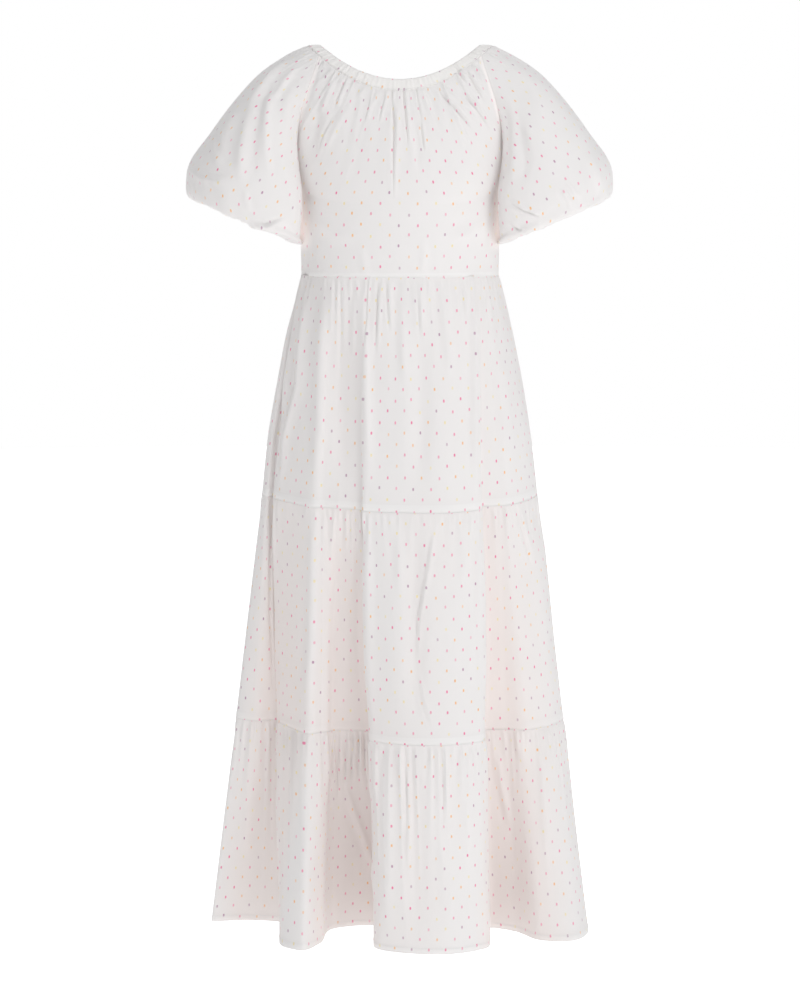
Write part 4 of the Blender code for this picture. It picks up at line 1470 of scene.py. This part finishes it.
@dataclass(frozen=True)
class StitchRow:
    """A row of sewing stitches along a line, made by Geometry Nodes.

    Attributes:
        pitch: Distance between two stitches.
        length: Length of a stitch.
        radius: Half the thread's thickness.
    """

    pitch: float = 0.0030
    length: float = 0.0023
    radius: float = 0.00028

    def tree(self) -> bpy.types.NodeTree:
        """Node group that lays a stitch at even distances along a curve."""
        tree = bpy.data.node_groups.new("stitch row", "GeometryNodeTree")
        sockets = (
            ("Line", "INPUT", "NodeSocketGeometry"), ("Pitch", "INPUT", "NodeSocketFloat"),
            ("Stitch Size", "INPUT", "NodeSocketVector"), ("Thread", "INPUT", "NodeSocketMaterial"),
            ("Stitches", "OUTPUT", "NodeSocketGeometry"),
        )
        for name, way, kind in sockets:
            tree.interface.new_socket(name, in_out=way, socket_type=kind)
        start = tree.nodes.new("NodeGroupInput")
        even = tree.nodes.new("GeometryNodeResampleCurve")
        even.mode = "LENGTH"
        stitch = tree.nodes.new("GeometryNodeMeshUVSphere")
        stitch.inputs["Segments"].default_value = 4
        stitch.inputs["Rings"].default_value = 4
        stitch.inputs["Radius"].default_value = 1.0
        tangent = tree.nodes.new("GeometryNodeInputTangent")
        align = tree.nodes.new("FunctionNodeAlignRotationToVector")
        align.axis = "X"
        place = tree.nodes.new("GeometryNodeInstanceOnPoints")
        real = tree.nodes.new("GeometryNodeRealizeInstances")
        dress = tree.nodes.new("GeometryNodeSetMaterial")
        end = tree.nodes.new("NodeGroupOutput")
        links = (
            (start.outputs["Line"], even.inputs["Curve"]),
            (start.outputs["Pitch"], even.inputs["Length"]),
            (even.outputs["Curve"], place.inputs["Points"]),
            (stitch.outputs["Mesh"], place.inputs["Instance"]),
            (tangent.outputs[0], align.inputs["Vector"]),
            (align.outputs[0], place.inputs["Rotation"]),
            (start.outputs["Stitch Size"], place.inputs["Scale"]),
            (place.outputs[0], real.inputs[0]),
            (real.outputs[0], dress.inputs["Geometry"]),
            (start.outputs["Thread"], dress.inputs["Material"]),
            (dress.outputs[0], end.inputs["Stitches"]),
        )
        for source, target in links:
            tree.links.new(source, target)
        return tree

    def build(
        self, name: str, line: np.ndarray, closed: bool, thread: bpy.types.Material
    ) -> bpy.types.Object:
        """Sews one row.

        Args:
            name: Name of the piece.
            line: Points that the row follows.
            closed: Whether the row closes on itself.
            thread: Material of the thread.

        Returns:
            The finished row of stitches.
        """
        curve = bpy.data.curves.new(f"{name}_line", "CURVE")
        curve.dimensions = "3D"
        spline = curve.splines.new("POLY")
        spline.points.add(len(line) - 1)
        spline.points.foreach_set("co", np.concatenate([line, np.ones((len(line), 1))], axis=1).ravel())
        spline.use_cyclic_u = closed
        draft = bpy.data.objects.new(f"{name}_draft", curve)
        bpy.context.scene.collection.objects.link(draft)
        sewing = draft.modifiers.new("stitches", "NODES")
        sewing.node_group = self.tree()
        size = (self.length / 2, self.radius, self.radius)
        values = {"Pitch": self.pitch, "Stitch Size": size, "Thread": thread}
        for item in sewing.node_group.interface.items_tree:
            if item.name in values:
                sewing[item.identifier] = values[item.name]
        piece = bake(draft, name)
        piece.data.shade_smooth()
        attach(piece, BODY)
        return piece


@dataclass(frozen=True)
class Lamp:
    """One round soft lamp: its place, its width in metres, its power in watts and its colour."""

    name: str
    place: Spot
    size: float
    power: float
    colour: Spot


@dataclass(frozen=True)
class Studio:
    """Camera at the photograph's viewing angle, soft lights, white surround and pale floor."""

    camera_place: Spot = (0.0, -3.8, -0.212)
    aim: Spot = (0.0, 0.0, -0.6426)
    lens: float = 96.075
    sensor: float = 36.0
    floor_z: float = -1.40
    floor_radius: float = 9.0
    floor_corners: int = 64
    floor_glow: Point = (0.5, 0.4)
    surround: Colour = (0.408, 0.417, 0.423, 1.0)
    white: Colour = (1.0, 1.0, 1.0, 1.0)
    lamps: tuple[Lamp, ...] = (
        Lamp("key", (1.9, -2.6, 0.5), 2.4, 31.0, (0.965, 0.985, 1.0)),
        Lamp("fill", (-1.4, -2.8, -1.15), 2.0, 3.2, (0.92, 0.95, 1.0)),
        Lamp("left side", (-2.0, -1.0, 2.4), 1.4, 12.5, (0.96, 0.98, 1.0)),
        Lamp("right side", (2.3, -0.2, 2.0), 1.4, 5.0, (0.96, 0.98, 1.0)),
        Lamp("top", (0.4, -0.6, 2.2), 2.0, 10.0, (0.965, 0.99, 1.0)),
        Lamp("back", (-0.8, 2.6, 0.4), 2.4, 13.0, (0.97, 0.99, 1.0)),
    )

    def build(self) -> None:
        """Sets up the whole studio."""
        self.camera()
        self.floor()
        self.world()
        for lamp in self.lamps:
            self.light(lamp)
        bpy.context.scene.view_settings.view_transform = "Standard"

    def camera(self) -> None:
        """Adds the camera."""
        data = bpy.data.cameras.new("camera")
        data.lens = self.lens
        data.sensor_fit = "VERTICAL"
        data.sensor_height = self.sensor
        camera = bpy.data.objects.new("camera", data)
        camera.location = self.camera_place
        camera.rotation_euler = self.towards(self.camera_place, self.aim)
        bpy.context.scene.collection.objects.link(camera)
        bpy.context.scene.camera = camera

    def towards(self, place: Spot, aim: Spot) -> Spot:
        """Turn that points an object's -Z from a place at an aim."""
        return tuple((Vector(aim) - Vector(place)).to_track_quat("-Z", "Y").to_euler())

    def light(self, lamp: Lamp) -> None:
        """Adds one lamp, aimed at the dress."""
        data = bpy.data.lights.new(lamp.name, "AREA")
        data.shape = "DISK"
        data.size = lamp.size
        data.energy = lamp.power
        data.color = lamp.colour
        placed = bpy.data.objects.new(lamp.name, data)
        placed.location = lamp.place
        placed.rotation_euler = self.towards(lamp.place, self.aim)
        bpy.context.scene.collection.objects.link(placed)

    def floor(self) -> None:
        """Adds a wide pale floor, which shows a little brighter than it lights the dress."""
        mesh = bpy.data.meshes.new("floor")
        turns = 2 * math.pi * np.arange(self.floor_corners) / self.floor_corners
        radius = self.floor_radius
        rim = [(radius * math.cos(t), radius * math.sin(t), self.floor_z) for t in turns]
        mesh.from_pydata(rim, [], [tuple(range(self.floor_corners))])
        sketch = NodeSketch("pale floor")
        seen = sketch.node("ShaderNodeLightPath").outputs["Is Camera Ray"]
        plain, extra = self.floor_glow
        sketch.dress({
            "Base Color": (0.9, 0.9, 0.9, 1.0),
            "Roughness": 0.9,
            "Emission Color": self.white,
            "Emission Strength": sketch.math("MULTIPLY_ADD", seen, extra, plain),
        })
        mesh.materials.append(sketch.material)
        floor = bpy.data.objects.new("floor", mesh)
        bpy.context.scene.collection.objects.link(floor)

    def world(self) -> None:
        """White surround, softer as a light than as a backdrop."""
        world = bpy.data.worlds.new("surround")
        world.use_nodes = True
        tree = world.node_tree
        background = tree.nodes["Background"]
        path = tree.nodes.new("ShaderNodeLightPath")
        mix = tree.nodes.new("ShaderNodeMix")
        mix.data_type = "RGBA"
        mix.inputs[6].default_value = self.surround
        mix.inputs[7].default_value = self.white
        tree.links.new(path.outputs["Is Camera Ray"], mix.inputs["Factor"])
        tree.links.new(mix.outputs[2], background.inputs["Color"])
        bpy.context.scene.world = world


@dataclass
class MaxiDress:
    """The whole dress: its sewn pieces, their finish and their sewing."""

    neck: Neckline = field(default_factory=Neckline)
    skirt: Skirt = field(default_factory=Skirt)
    casing_colour: Colour = (0.935, 0.90, 0.872, 1.0)
    waist_band: float = 0.007
    # Strength of the painted light in the narrow gaps beside the sleeves
    painted_gap_light: float = 0.42
    # Piece, and the height of its row of stitches over its lower edge
    stitch_rows: tuple[tuple[str, float], ...] = (
        ("skirt_tier1_front", 0.0016),
        ("skirt_tier1_back", 0.0016),
        ("skirt_tier2_front", 0.0016),
        ("skirt_tier2_back", 0.0016),
        ("skirt_tier3_front", 0.0080),
        ("skirt_tier3_back", 0.0080),
        ("neck_casing", 0.0030),
    )
    pieces: dict[str, bpy.types.Object] = field(default_factory=dict)
    sheets: dict[str, Sheet] = field(default_factory=dict)

    def build(self) -> None:
        """Builds and dresses every piece."""
        self.dress_top()
        self.dress_skirt()
        thread = Thread().material("sewing thread")
        for node, above in self.stitch_rows:
            self.stitch(node, above, thread)
        self.declare()

    def dress_top(self) -> None:
        """Builds the casing, the bodice, the sleeves and the cuffs."""
        plain = Voile().material("voile")
        casing = Voile(colour=self.casing_colour).material("casing voile")
        # The bodice's cloth takes painted light and painted shade in the gaps beside the sleeves
        waist = Voile(band=self.waist_band, painted_light_strength=self.painted_gap_light).material("bodice voile")
        bodice = Bodice(self.neck)
        self.add(self.neck.sheet(bodice.front.creases), casing, "casing")
        for side in Side:
            self.add(bodice.sheet(side), waist, "cloth")
        sleeves = Sleeves(self.neck)
        for mirrored in (False, True):
            self.add(sleeves.sheet(mirrored), plain, "cloth")
            self.add(sleeves.cuff(mirrored), casing, "casing")

    def dress_skirt(self) -> None:
        """Builds the tiers."""
        tier_cloth = Voile(band=self.skirt.band).material("tier voile")
        hem_cloth = Voile(band=self.skirt.hem).material("hem voile")
        for tier in range(3):
            for sheet in self.skirt.sheets(tier):
                self.add(sheet, hem_cloth if tier == 2 else tier_cloth, "cloth")

    def add(self, sheet: Sheet, material: bpy.types.Material, slot: str) -> None:
        """Builds one sheet and keeps it by name."""
        piece = sheet.build(material)
        self.pieces[sheet.node] = piece
        self.sheets[sheet.node] = sheet
        LOG.info("%s has %d faces", piece.name, len(piece.data.polygons))

    def stitch(self, node: str, above: float, thread: bpy.types.Material) -> None:
        """Sews a row at a height over the lower edge of a piece."""
        sheet = self.sheets[node]
        outward = -normals_of(sheet.grid, sheet.closed)
        height = sheet.cloth[-1, 0, 1] - sheet.cloth[:, 0, 1]
        level = int(np.argmin(np.abs(height - above)))
        line = sheet.grid[level] + outward[level] * (WALL / 2 + STITCH_STAND_OFF)
        piece = StitchRow().build(f"stitches_{node}", line, sheet.closed, thread)
        self.pieces[f"stitches_{node}"] = piece

    def declare(self) -> None:
        """States the flat cut of every sheet of cloth."""
        for node, sheet in self.sheets.items():
            width, length = sheet.flat_size()
            area = sheet.area()
            LOG.info("%s cloth %.3f x %.3f, measured %.4f", node, width, length, area)


def main() -> None:
    """Loads the frame, dresses it and lights it."""
    logging.basicConfig(level=logging.INFO)
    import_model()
    MaxiDress().build()
    Studio().build()


if __name__ == "__main__":
    main()
